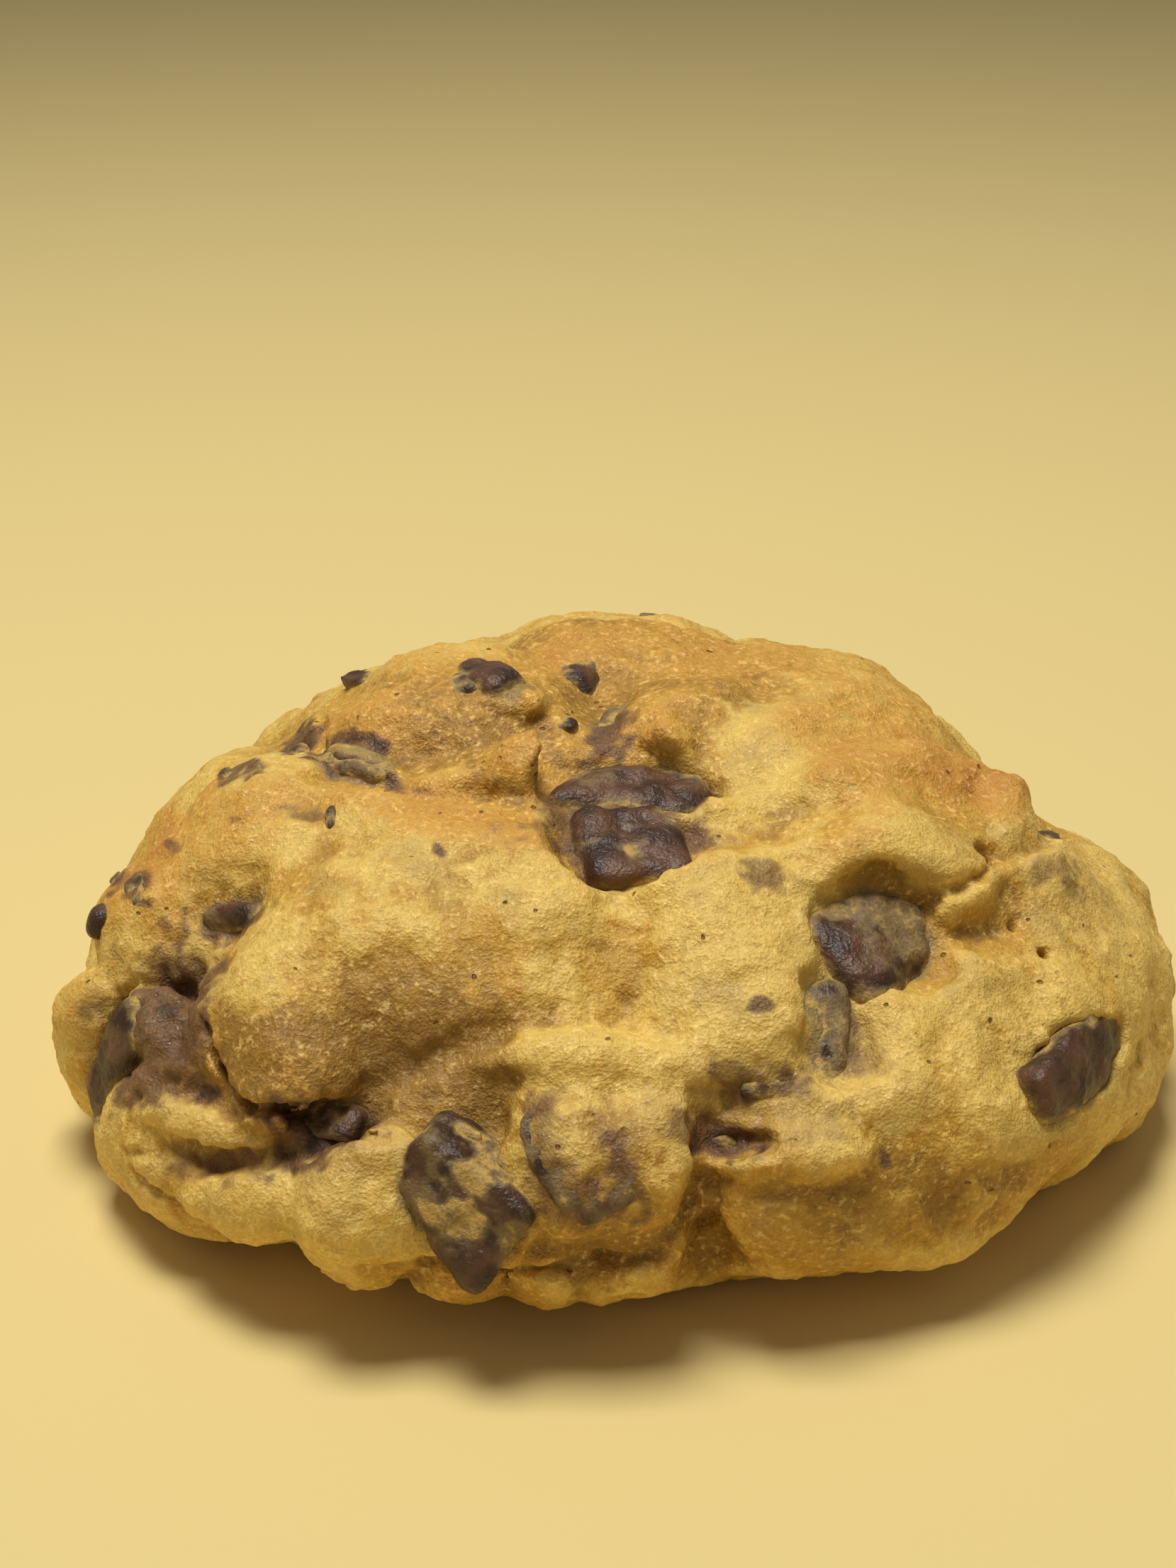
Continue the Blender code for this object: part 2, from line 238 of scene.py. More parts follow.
# bearing, climb, stand, half across, half uphill, half thick, turn, blend into what is already there
lobes = {
    "crustBack": (-88, 44, -1.6, 9, 9, 6, 0, 2.4),
    "crustTop": (-64, 50, 1.7, 10, 7.5, 5.5, 14, 2.0),
    "crustSide": (-64, 34, 0.9, 8, 7, 5, 4, 2.0),
    "tongueCrest": (-34, 57, 1.2, 12, 8, 5, 6, 1.4),
    "tongueTurn": (-12, 52, 0.7, 5.5, 5.5, 4, -30, 1.6),
    "tongueMiddle": (-32, 43, 1.7, 10.5, 7.5, 6, 6, 2.2),
    "tongueFlank": (-13, 43, -0.5, 7, 5.5, 4.5, 0, 2.6),
    "tongueLow": (-37, 31, 2.4, 7.0, 6.5, 5, -8, 2.0),
    "tongueTip": (-32, 24, 3.3, 4.2, 4.6, 4.2, 4, 1.4),
    "saddle": (-18, 29, -1.4, 7, 5, 4, 6, 2.0),
    "saddleLow": (-18, 22, -1.4, 5, 3.5, 3.5, 0, 2.0),
    "ridge": (-1, 32, 0.9, 7.5, 2.6, 3.2, -3, 1.4),
    "ridgeLow": (-1, 27, -0.8, 6, 2.4, 3, 0, 1.4),
    "mound": (18, 46, 1.2, 6.8, 8.0, 4.8, -24, 2.8),
    "moundLip": (17, 55, 0.9, 5.4, 3.0, 2.8, -6, 1.6),
    "moundLow": (15, 37, 0.0, 6, 4.4, 3.5, -6, 2.4),
    "browA": (52, 62, 1.4, 3.8, 2.4, 2.6, -9, 1.6),
    "browB": (61, 60, 1.6, 3.4, 2.2, 2.4, -9, 1.4),
    "browC": (70, 57, 1.7, 4, 2.4, 2.6, -17, 1.4),
    "browD": (73, 53, 1.7, 4, 2.4, 2.6, -11, 1.4),
    "browE": (73, 47, 1.4, 4.1, 2.6, 2.6, -4, 1.4),
    "browFront": (53, 55, 1.3, 8.0, 5, 4.5, -17, 2.4),
    "browSide": (66, 44, 0.6, 6, 5, 4.5, 0, 1.6),
    "overhang": (45, 50, 2.2, 7.6, 4.6, 4.2, -16, 1.8),
    "shoulder": (66, 36, -0.2, 9, 5, 4.5, -20, 2.6),
    "rightBand": (64, 24, 0.0, 10.4, 8, 5.5, -4, 2.8),
    "bigUpper": (42, 30, 0.7, 10, 4.6, 5, -18, 2.6),
    "bigMiddle": (33, 18, 1.5, 13.1, 7, 7, -14, 2.2),
    "bigLow": (28, 5, 0.3, 12.5, 6, 6, -6, 2.4),
    "bigRight": (54, 12, 0.8, 10, 8, 6, -14, 3.0),
    "bigCorner": (68, 4, 0.4, 9, 7, 5.5, 0, 3.0),
    "rightEdge": (86, 10, -0.6, 9, 8, 5.5, 0, 3.0),
    "bigLeft": (16, 9, 0.6, 6, 4.6, 5.5, -6, 1.4),
    "bigEdge": (17, 17, 1.8, 5, 2.2, 3, -4, 0.8),
    "frontRound": (-4, 18, 2.2, 5.0, 4.8, 3.8, 4, 1.8),
    "frontRoundRight": (3, 18, 2.0, 4.0, 4.6, 3.6, 0, 1.8),
    "frontRoundTop": (-3, 24, 1.1, 4.4, 2, 2.8, 2, 0.8),
    "frontLeft": (-22, 8, 2.7, 6, 5.2, 4.6, 16, 0.9),
    "frontLeftTip": (-32, 5, 2.4, 6.5, 3, 3.4, 12, 0.8),
    "frontLeftTop": (-22, 17, 2, 3.8, 1.8, 2.4, 10, 0.8),
    "shelf": (-41, 12, 1.2, 8, 2.4, 3, 12, 0.7),
    "shelfEnd": (-31, 14, 0, 3.5, 1.8, 2.8, 20, 0.7),
    "leftFoot": (-46, -1, 1.0, 9, 6, 4.2, 10, 1.0),
    "leftFootLow": (-38, -8, 0.0, 8, 4.6, 4, 6, 1.0),
    "footLeft": (-13, -6, 0.1, 4.0, 4.0, 3.6, 0, 0.6),
    "footMiddle": (-6, -7, -0.3, 3.2, 4.0, 3.4, 0, 0.5),
    "footRight": (2, 1, -0.1, 3.4, 3.2, 3, 0, 0.5),
    "footEnd": (7, 5, -0.2, 2.4, 2.2, 2.6, 0, 0.6),
    "flap": (-65, -4, 0.2, 4, 8, 4.4, -14, 1.0),
    "flapBack": (-92, 4, -3.2, 9, 8, 5, 0, 2.0),
    "knob": (-24, 71, 1.8, 2.9, 2.2, 2.2, 8, 1.2),
    "paleTop": (-37, 68, 0.4, 5.4, 4, 3.2, 13, 2.2),
    "leftFold": (-76, 65, 0.9, 5.4, 3.3, 3, 30, 1.6),
    "swirlFold": (-64, 62, 0.6, 6, 1.9, 2, 33, 0.5),
    "backLeft": (-96, 73, 1.8, 9.5, 10, 5, -23, 2.6),
    "backLeftEnd": (-112, 60, -0.6, 9.6, 5.5, 4.5, 25, 2.4),
    "backMiddle": (168, 74, 0.8, 9, 7.5, 4.5, 0, 2.6),
    "backFold": (60, 82, 0.8, 5, 4, 3, -15, 2.4),
    "drip": (20, 74, 0.9, 2, 4.2, 2.4, -20, 1.6),
    "rightDome": (88, 66, 1.1, 13, 10.5, 6, -20, 2.8),
    "rightDomeBack": (125, 62, 0.2, 11, 10, 5.5, -20, 2.8),
    "backLow": (180, 40, 0, 14, 12, 7, 0, 2.5),
    "backLowLeft": (-140, 36, -2.8, 13, 11, 7, 0, 2.5),
    "backLowRight": (132, 34, -2.5, 13, 11, 7, 0, 2.5),
    "overhangCorner": (49, 44, 2.0, 3.2, 2.0, 2.8, 9, 1.2),
    "footCentre": (0, -6, -0.6, 3.0, 3.4, 3.2, 0, 0.5),
}
# the same numbers for what is scooped out, with the blend rounding its rim
hollows = {
    "crater": (4, 63, 3.2, 5.6, 5.2, 3.8, -4, 1.2),
    "craterBack": (5, 72, 2.6, 6.8, 3.4, 3.3, -12, 2.0),
    "craterHole": (24, 70, 1.0, 2.0, 2.3, 2.7, -6, 0.8),
    "rightHollow": (36, 42, 3.0, 4.2, 5.4, 3.0, 22, 1.2),
    "lowHollow": (24, 34, 2.0, 2.4, 4.0, 2.1, -27, 1.4),
    "leftCavity": (-50, 21.5, 3.2, 3.2, 4.6, 3.4, 14, 0.6),
    "underTongue": (-27, 19.5, 2.4, 3.6, 1.4, 3.0, 5, 0.6),
    "frontSlot": (11, 20, 2.6, 2.6, 0.9, 2.6, -8, 0.6),
    "rightSeat": (48, 16.5, 2.8, 5.6, 2.6, 2.6, 4, 1.0),
    "notch": (57, 45, 2.4, 1.0, 0.6, 2.0, 13, 0.8),
    "pitUpper": (54, 38, 1.6, 0.7, 0.4, 1.6, 12, 0.5),
    "pitLower": (54, 33, 1.6, 0.6, 0.4, 1.4, 18, 0.5),
    "rightNotch": (9, -6, 0.4, 1.8, 3.6, 2.6, 0, 1.4),
}
# torn masses inside the hollows, joined in after them
fillings = {
    "cavityMass": (-50, 20, 0.2, 3.2, 3.6, 3.0, 10, 0.6),
    "cavityFoot": (-46, 16, 0.9, 4.0, 1.8, 2.4, 23, 0.6),
    "craterStrand": (15, 66, -1.7, 2.6, 0.7, 1.2, -35, 0.5),
    "craterEnd": (24, 66, -1.2, 1.3, 1.3, 1.6, -11, 0.6),
    "shelfCrumb": (-31, 14, 0.6, 3.4, 1.4, 2.0, 14, 0.6),
}
# bearing, climb, half across, half uphill, turn, strength of the torn crumb
tornSpots = {
    "cavity": (-49, 23, 6.0, 6.0, 0, 1.0),
    "underTongue": (-27, 18, 6.5, 2.2, 0, 0.8),
    "shelfStreak": (-36, 10, 6.0, 1.4, 24, 0.7),
    "saddle": (-20, 27, 5.0, 3.0, 10, 0.35),
    "frontRound": (-4, 20, 3.4, 3.0, 0, 0.3),
    "frontChunk": (-14, 14, 3.4, 5.0, 30, 0.4),
    "slot": (11, 24, 5.0, 3.4, -6, 0.6),
    "lowHollow": (23, 33, 3.2, 3.4, 0, 0.4),
    "crater": (-3, 63, 2.6, 4.4, 20, 0.6),
    "shoulder": (66, 34, 7.0, 5.0, -20, 0.3),
    "flapSeam": (-58, 12, 2.0, 6.0, 0, 0.6),
}
# route as bearing and climb, then depth, half width and softness of the pressed line
creases = {
    "tongueBack": (((-60, 60), (-48, 62), (-36, 64), (-26, 66), (-18, 63)), 0.8, 0.6, 1.4),
    "tongueUnder": (((-24, 22), (-21, 27), (-17, 32), (-12, 35)), 0.5, 0.7, 1.6),
    "underOverhang": (((34, 46), (41, 45), (47, 43), (54, 43)), 1.0, 0.6, 0.9),
    "shoulderFold": (((57, 45), (63, 42), (70, 40), (78, 40)), 0.7, 0.6, 1.4),
    "roundLeft": (((-10, 24), (-11, 18), (-9, 12), (-8, 6)), 0.9, 0.5, 0.8),
    "roundRight": (((7, 25), (8, 19), (7, 12), (8, 5)), 1.0, 0.5, 0.8),
    "frontLeftTop": (((-47, 3), (-41, 7), (-35, 10), (-29, 14), (-22, 19), (-15, 20)), 0.5, 0.4, 0.8),
    "frontLeftUnder": (((-46, 1), (-38, -2), (-30, -5), (-22, -6)), 1.2, 0.5, 0.6),
    "shelfUnder": (((-50, 8), (-42, 8), (-36, 9), (-30, 12)), 0.4, 0.8, 0.9),
    "shelfTop": (((-56, 14), (-48, 16), (-40, 17), (-34, 17)), 0.5, 0.8, 0.9),
    "flapEdge": (((-58, 24), (-58, 16), (-56, 8), (-54, 0)), 2.0, 0.7, 0.7),
    "footSplit": (((-9, 0), (-9, -6), (-9, -12)), 0.9, 0.4, 0.5),
    "footTop": (((-20, 1), (-14, 2), (-8, 1), (-2, 3), (4, 5)), 0.8, 0.5, 0.8),
    "bigLeftEdge": (((9, 16), (9, 10), (9, 4), (8, -2)), 0.8, 0.5, 0.7),
    "leftFoldUnder": (((-92, 60), (-82, 60), (-74, 59), (-64, 60)), 0.8, 0.4, 0.8),
    "backSide": (((150, 62), (165, 55), (178, 50), (192, 52)), 0.9, 0.6, 1.2),
    "backLeftSeam": (((-120, 48), (-128, 40), (-130, 28), (-128, 14)), 1.0, 0.6, 1.2),
    "backRightSeam": (((118, 50), (122, 38), (118, 24), (112, 12)), 1.0, 0.6, 1.2),
    "tongueEdge": (((-47, 31), (-41, 25), (-38, 21.4), (-35.4, 19.3), (-32.5, 18.5), (-29.4, 20), (-27, 22)), 1.5, 0.5, 0.4),
}


def refine(values, coarse, axes):
    # coarse cubes read on a finer grid, straight-line between neighbours along each axis in turn
    for axis, fine in enumerate(axes):
        at = (fine - fine[0]) / coarse
        low = np.minimum(at.astype(int), values.shape[axis] - 2)
        part = (at - low).astype(np.float32).reshape([-1 if i == axis else 1 for i in range(3)])
        values = np.take(values, low, axis) * (1 - part) + np.take(values, low + 1, axis) * part
    return values


class DoughField:
    # distances to the dough's skin on a cube grid, below 0 inside
    def __init__(self, low, high, step, bendings):
        self.low, self.step = np.array(low, float), step
        self.axes = [np.arange(a, b, step) for a, b in zip(low, high)]
        shape = tuple(len(axis) for axis in self.axes)
        coarse = min(size for size, push in bendings) / 3.5
        starts = [np.arange(a, b + 2 * coarse, coarse) for a, b in zip(low, high)]
        points = np.stack(np.meshgrid(*starts, indexing="ij"), -1)
        self.places = []
        for axis in range(3):
            push = sum(grain(points, size, 10 * axis + i) * push for i, (size, push) in enumerate(bendings))
            line = self.axes[axis].reshape([-1 if i == axis else 1 for i in range(3)])
            self.places.append((line + refine(push, coarse, self.axes)).astype(np.float32))
        self.values = np.full(shape, 1e3, np.float32)

    def window(self, low, high):
        first = [int(np.clip((a - start) / self.step, 0, len(axis))) for a, start, axis in
                 zip(low, self.low, self.axes)]
        last = [int(np.clip((b - start) / self.step + 2, 0, len(axis))) for b, start, axis in
                zip(high, self.low, self.axes)]
        return tuple(slice(a, b) for a, b in zip(first, last))

    def lobe(self, row):
        middle, axes, sizes = lobeFrame(*row[:7])
        reach = np.sqrt(((axes * sizes) ** 2).sum(1)) + row[7] * 1.5 + 2.5
        window = self.window(middle - reach, middle + reach)
        return window, lobeDistance(*(place[window] for place in self.places), middle, axes, sizes)

    def join(self, row):
        window, distance = self.lobe(row)
        self.values[window] = smoothMin(self.values[window], distance, row[7])

    def scoop(self, row):
        window, distance = self.lobe(row)
        self.values[window] = smoothMax(self.values[window], -distance, row[7])

    def press(self, route, outward, halfWidth, depth, softness):
        # a groove along a chain of straight runs, a half oval across, open above the skin: how far a point is from the
        # nearest run, with its depth below the skin shrunk by halfWidth / depth, less the half width
        reach = max(halfWidth.max(), depth.max()) + softness * 1.5 + 0.5
        window = self.window(route.min(0) - reach, route.max(0) + reach)
        x, y, z = (axis[part].reshape([-1 if i == n else 1 for i in range(3)]).astype(np.float32)
                   for n, (axis, part) in enumerate(zip(self.axes, window)))
        nearest = np.full(np.broadcast_shapes(x.shape, y.shape, z.shape), 1e3, np.float32)
        for i in range(len(route) - 1):
            start, run = route[i], route[i + 1] - route[i]
            t = np.clip(((x - start[0]) * run[0] + (y - start[1]) * run[1] + (z - start[2]) * run[2]) / (run @ run),
                        0, 1)
            away = [x - start[0] - t * run[0], y - start[1] - t * run[1], z - start[2] - t * run[2]]
            up = sum(part * axis for part, axis in zip(away, outward[i]))
            flat = sum(part * part for part in away) - up * up
            up = np.minimum(up, 0)
            wide = halfWidth[i] + (halfWidth[i + 1] - halfWidth[i]) * t
            shrunk = wide / depth[i]
            nearest = np.minimum(nearest, np.sqrt(np.maximum(flat, 0) + (up * shrunk) ** 2) - wide)
        self.values[window] = smoothMax(self.values[window], -nearest, softness)

    def read(self, points):
        # the distance at any points, straight-line between the eight grid places around each
        at = (points - self.low) / self.step
        low = np.clip(np.floor(at).astype(int), 0, np.array(self.values.shape) - 2)
        part = np.clip(at - low, 0, 1)
        total = np.zeros(points.shape[:-1])
        for corner in product((0, 1), repeat=3):
            weight = np.prod(np.where(np.array(corner) == 1, part, 1 - part), axis=-1)
            total += weight * self.values[tuple(np.moveaxis(low + corner, -1, 0))]
        return total

    def skin(self, bearing, climb, highest=7.0, lowest=-9.0):
        # the stand at which a line from above the dome first meets the dough
        stands = np.arange(highest, lowest, -0.2)
        inside = self.read(domeFrame(np.asarray(bearing, float)[..., None], np.asarray(climb, float)[..., None],
                                     stands)[0]) < 0
        return stands[np.argmax(inside, -1)]


def smoothRoute(points, count):
    # a smooth curve through given points: Catmull-Rom, a cubic between each two that leans on their neighbours
    p = np.array(points, float)
    p = np.concatenate([2 * p[:1] - p[1:2], p, 2 * p[-1:] - p[-2:-1]])
    t = np.linspace(0, len(points) - 1 - 1e-6, count)
    i, u = t.astype(int), (t % 1)[:, None]
    a, b, c, d = p[i], p[i + 1], p[i + 2], p[i + 3]
    return 0.5 * (2 * b + (c - a) * u + (2 * a - 5 * b + 4 * c - d) * u ** 2 + (3 * b - a - 3 * c + d) * u ** 3)


def surfaceOf(field):
    # surface nets: a corner in every cube that the skin crosses, at the mean of its edges' crossings, and a
    # four-sided face across every grid edge that the skin crosses
    values, inside = field.values, field.values < 0
    shape = np.array(values.shape) - 1
    corners = list(product((0, 1), repeat=3))
    count = sum(inside[tuple(slice(c, c + n) for c, n in zip(corner, shape))].astype(np.int8) for corner in corners)
    crossed = (count > 0) & (count < 8)
    cells = np.argwhere(crossed)
    number = np.full(crossed.shape, -1, np.int64)
    number[crossed] = np.arange(len(cells))
    total, crossings = np.zeros((len(cells), 3)), np.zeros(len(cells))
    for corner in corners:
        for axis in range(3):
            if corner[axis]:
                continue
            start = values[tuple((cells + corner).T)].astype(float)
            end = values[tuple((cells + corner + np.eye(3, dtype=int)[axis]).T)].astype(float)
            cut = (start < 0) != (end < 0)
            place = np.tile(np.array(corner, float), (len(cells), 1))
            place[:, axis] += np.where(cut, start / np.where(cut, start - end, 1), 0)
            total[cut] += place[cut]
            crossings[cut] += 1
    points = field.low + (cells + total / crossings[:, None]) * field.step
    faces = []
    for axis in range(3):
        u, v = np.eye(3, dtype=int)[(axis + 1) % 3], np.eye(3, dtype=int)[(axis + 2) % 3]
        start = inside[tuple(slice(0, -1) if i == axis else slice(1, -1) for i in range(3))]
        end = inside[tuple(slice(1, None) if i == axis else slice(1, -1) for i in range(3))]
        for leaving, turned in ((start & ~end, False), (end & ~start, True)):
            at = np.argwhere(leaving) + [0 if i == axis else 1 for i in range(3)]
            face = np.stack([number[tuple(cell.T)] for cell in (at - u - v, at - v, at, at - u)], 1)
            faces.append(face[:, ::-1] if turned else face)
    return points, np.concatenate(faces).tolist()


def makeMesh(name, points, faces):
    mesh = bpy.data.meshes.new(name)
    mesh.from_pydata((np.asarray(points) * mm).tolist(), [], faces)
    mesh.shade_smooth()
    return mesh


def meshPoints(mesh):
    # corners in millimetres, and the outward direction at each
    points, normals = np.zeros(len(mesh.vertices) * 3), np.zeros(len(mesh.vertices) * 3)
    mesh.vertices.foreach_get("co", points)
    mesh.vertex_normals.foreach_get("vector", normals)
    return points.reshape(-1, 3) / mm, normals.reshape(-1, 3)


def addPiece(name, mesh, material, nodes):
    mesh.materials.append(material)
    piece = bpy.data.objects.new(name, mesh)
    bpy.context.scene.collection.objects.link(piece)
    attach(piece, "root")
    if nodes:
        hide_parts(*nodes)
    return piece


def thinOut(mesh, mostTriangles):
    # flat stretches give up faces first, so that the crumb keeps its own
    mesh.calc_loop_triangles()
    holder = bpy.data.objects.new("thinning", mesh)
    bpy.context.scene.collection.objects.link(holder)
    fewer = holder.modifiers.new("fewer faces", "DECIMATE")
    fewer.ratio = min(1.0, mostTriangles / len(mesh.loop_triangles))
    thinned = bpy.data.meshes.new_from_object(holder.evaluated_get(bpy.context.evaluated_depsgraph_get()))
    bpy.data.objects.remove(holder, do_unlink=True)
    thinned.shade_smooth()
    return thinned


def crumbField():
    look = doughLook
    field = DoughField((-46, -42, -1.4), (45, 45, 35), look["step"], look["bendings"])
    x, y, z = (place - centre for place, centre in
               zip(field.places, (dome["centreX"], dome["centreY"], dome["waist"])))
    back = smoothStep(look["taperStart"], look["taperStart"] + look["taperLength"], y)
    x = x / (1 - look["backTaper"] * back)
    scale = look["coreScale"]
    core = ballDistance((x, y, z), (dome["halfWide"] * scale, dome["halfDeep"] * scale,
                                    np.where(z > 0, dome["crown"] * scale, dome["under"]).astype(np.float32)))
    foot = ballDistance((x, y - look["footBack"], z + dome["waist"] - look["footMiddle"]),
                        (look["footWide"], look["footDeep"], look["footHigh"]))
    field.values = smoothMin(core, foot, look["footBlend"])
    for row in lobes.values():
        field.join(row)
    print("dough: lobes joined")
    for row in hollows.values():
        field.scoop(row)
    for row in fillings.values():
        field.join(row)
    for row in chunks.values():
        bearing, climb, stand, across, uphill, thick, turn, sharpness, bare, covered = row
        nest = look["nest"]
        field.join((bearing, climb, stand - bare, across + nest, uphill + nest, thick - bare, turn, look["nestBlend"]))
    for route, depth, halfWidth, softness in creases.values():
        way = smoothRoute(route, 12 * (len(route) - 1) + 1)
        stands = field.skin(way[:, 0], way[:, 1])
        stands = np.median(np.lib.stride_tricks.sliding_window_view(np.pad(stands, 6, mode="edge"), 13), -1)
        middles, axes = domeFrame(way[:, 0], way[:, 1], stands)
        ends = np.sin(np.linspace(0.12, math.pi - 0.12, len(way))) ** 0.6
        wander = 1 + 0.45 * grain(middles, 3.0, 77)
        field.press(middles, axes[:, :, 2], halfWidth * ends, depth * ends * wander, softness)
    print("dough: hollows and creases pressed")
    near = np.nonzero(np.abs(field.values) < 1.1)
    points = np.stack([axis[part] for axis, part in zip(field.axes, near)], -1)
    torn = tornness(points)
    lumps = sum(grain(points, size, 40 + i) * height for i, (size, height) in enumerate(look["crumb"]))
    rough = np.nonzero(torn > 0.01)[0]
    lumps[rough] += torn[rough] * sum(grain(points[rough], size, 50 + i) * height
                                      for i, (size, height) in enumerate(look["tornCrumb"]))
    field.values[near] += lumps
    table = (0 - field.axes[2]).astype(np.float32)[None, None, :]
    field.values = smoothMax(field.values, np.broadcast_to(table, field.values.shape), look["rimBlend"])
    print("dough: crumb raised")
    return field


def spotMask(points, row, ragged=0.35, edge=0.35, seed=5):
    # 1 inside an oval spot on the dome, 0 outside it, with an uneven rim
    bearing, climb, across, uphill, turn = row[:5]
    middle, axes, sizes = lobeFrame(bearing, climb, 0, across, uphill, 0, turn)
    local = (points - middle) @ axes
    away = np.sqrt((local[:, 0] / sizes[0]) ** 2 + (local[:, 1] / sizes[1]) ** 2)
    mask = np.zeros(len(points))
    close = (away < 2.5) & (np.abs(local[:, 2]) < 9)
    uneven = grain(points[close], max(1.2, 0.7 * min(sizes[:2])), seed) + 0.6 * grain(points[close], 0.8, seed + 1)
    mask[close] = 1 - smoothStep(1 - edge, 1 + edge, away[close] + ragged * uneven)
    return mask


def tornness(points):
    # 1 where the crumb is torn open, 0 out on the smooth skin
    torn = np.zeros(len(points))
    for number, row in enumerate(tornSpots.values()):
        torn = np.maximum(torn, spotMask(points, row, 0.3, 0.5, 31 + number) * row[5])
    return torn


# bearing, climb, half across, half uphill, turn, strength of each place that baked darker
brownedSpots = {
    "tongueCrest": (-32, 61, 8.0, 3.6, 2, 0.75),
    "crustTop": (-66, 44, 9.0, 5.0, 20, 0.75),
    "crustEdge": (-78, 36, 9.0, 3.0, 0, 1.1),
    "knob": (-25, 71, 3.4, 2.4, 10, 1.0),
    "brow": (63, 59, 9.0, 4.2, -12, 0.8),
    "browSide": (72, 49, 5.5, 3.4, -13, 0.9),
    "backTop": (160, 80, 10.0, 7.0, 30, 0.7),
    "backLeft": (-93, 70, 10.0, 7.0, -30, 0.5),
    "leftFold": (-75, 64, 5.0, 2.6, 32, 0.7),
    "domeTop": (102, 64, 13.0, 10.0, 0, 0.55),
    "rightEdge": (74, 24, 12.0, 6.0, 0, 0.35),
    "flapTop": (-64, 12, 4.0, 7.0, 0, 0.5),
    "centreTop": (33, 81, 4.0, 3.4, 26, 0.6),
    "tongueTip": (-31, 24, 3.4, 2.4, 12, 0.2),
    "backLow": (178, 36, 16.0, 12.0, 0, 0.5),
    "backRight": (128, 40, 12.0, 9.0, 0, 0.5),
    "backLeftLow": (-132, 34, 14.0, 10.0, 0, 0.45),
    "crustSide": (-70, 31, 4.0, 4.0, 0, 0.9),
    "centrePale": (-8, 78, 5.0, 4.0, 0, 0.35),
}
# the same numbers for melted chocolate rubbed into the dough
cocoaSpots = {
    "tongueStain": (-22, 30, 3.4, 2.0, 28, 0.35),
    "crustSmear": (-50, 39, 3.4, 1.3, 31, 0.9),
    "crustBlotchA": (-70, 31, 1.9, 0.9, 0, 0.9),
    "crustBlotchB": (-64, 34, 2.1, 1.1, -8, 0.85),
    "crustDent": (-72, 51, 3.0, 1.4, 27, 0.8),
    "crustTopEdge": (-53, 53, 2.4, 0.7, 30, 0.6),
    "tongueDotA": (-43, 50, 0.9, 0.5, 19, 0.5),
    "tongueDotB": (-27, 55, 0.4, 0.6, 33, 0.8),
    "tongueDotC": (-5, 56, 0.4, 0.7, 6, 0.9),
    "swirlUpper": (-70, 62, 4.6, 0.7, 38, 0.9),
    "swirlLower": (-59, 61, 5.0, 0.8, 28, 0.9),
    "leftTop": (-89, 57, 3.8, 1.6, 15, 0.9),
    "rimSmear": (-1, 81, 1.6, 3.2, -14, 0.8),
    "craterLeft": (-4, 61, 1.6, 3.4, 23, 0.7),
    "moundSpot": (23, 53, 2.1, 1.6, 7, 0.6),
    "overhangGrey": (45, 51, 5.6, 2.8, -19, 0.18),
    "shoulderSmear": (64, 38, 4.8, 1.1, -24, 0.45),
    "shoulderSmearB": (65, 34, 1.8, 0.9, -35, 0.5),
    "browSpeck": (57, 45, 0.7, 0.4, 16, 0.9),
    "hollowGrey": (37, 44, 3.9, 3.2, -17, 0.3),
    "lowHollowGrey": (24, 31, 2.8, 2.6, 19, 0.5),
    "moundFoot": (16, 37, 0.8, 0.6, 0, 0.8),
    "slotAboveA": (12, 29, 2.2, 1.2, -6, 0.55),
    "slotAboveB": (17, 28, 1.7, 1.0, -8, 0.7),
    "slot": (10, 21, 2.6, 1.0, -6, 0.9),
    "bigStreak": (19, 22, 3.0, 1.6, -10, 0.4),
    "bigDot": (24, 15, 0.5, 0.7, -8, 0.8),
    "roundTop": (-6, 25, 1.3, 1.3, 8, 0.6),
    "roundMiddle": (-5.5, 20, 1.6, 4.2, 10, 0.55),
    "roundRight": (1, 18, 0.9, 2.6, 20, 0.7),
    "shelfStreakA": (-35, 9, 5.6, 1.0, 24, 0.55),
    "shelfStreakB": (-27, 15, 3.6, 1.2, 32, 0.9),
    "cavity": (-49, 22, 6.0, 5.4, 0, 0.8),
    "cavityLow": (-46, 16, 4.4, 1.8, 23, 0.7),
    "flapStripe": (-61, 18, 1.0, 1.6, 22, 0.35),
    "crater": (4, 66, 6.4, 4.6, 0, 0.75),
    "backSmearA": (166, 62, 5.0, 1.6, 20, 0.6),
    "backSmearB": (-168, 34, 6.0, 1.4, -14, 0.6),
    "backSmearC": (124, 46, 4.0, 1.4, 30, 0.6),
    "roundBottom": (-2.5, 14.5, 2.2, 1.4, 0, 0.7),
    "craterHole": (24, 70, 1.6, 1.6, -6, 1.2),
    "cavityHoleA": (-50, 24, 1.0, 0.6, 10, 1.4),
    "cavityHoleB": (-40, 17, 1.0, 0.7, 19, 1.4),
    "cavityTop": (-52, 30, 1.4, 0.9, 11, 0.7),
    "slotBrown": (7, 23, 1.8, 1.4, -3, 0.6),
    "underTongue": (-27, 19, 3.0, 1.4, 7, 1.0),
    "crustFleckA": (-66, 40, 1.0, 0.5, 20, 0.6),
    "crustFleckB": (-74, 40, 1.2, 0.6, -10, 0.7),
    "crustFleckC": (-60, 47, 0.9, 0.4, 30, 0.5),
    "crustFleckD": (-70, 24, 1.4, 0.7, 0, 0.6),
    "crustFleckE": (-57, 33, 1.0, 0.6, 10, 0.5),
}
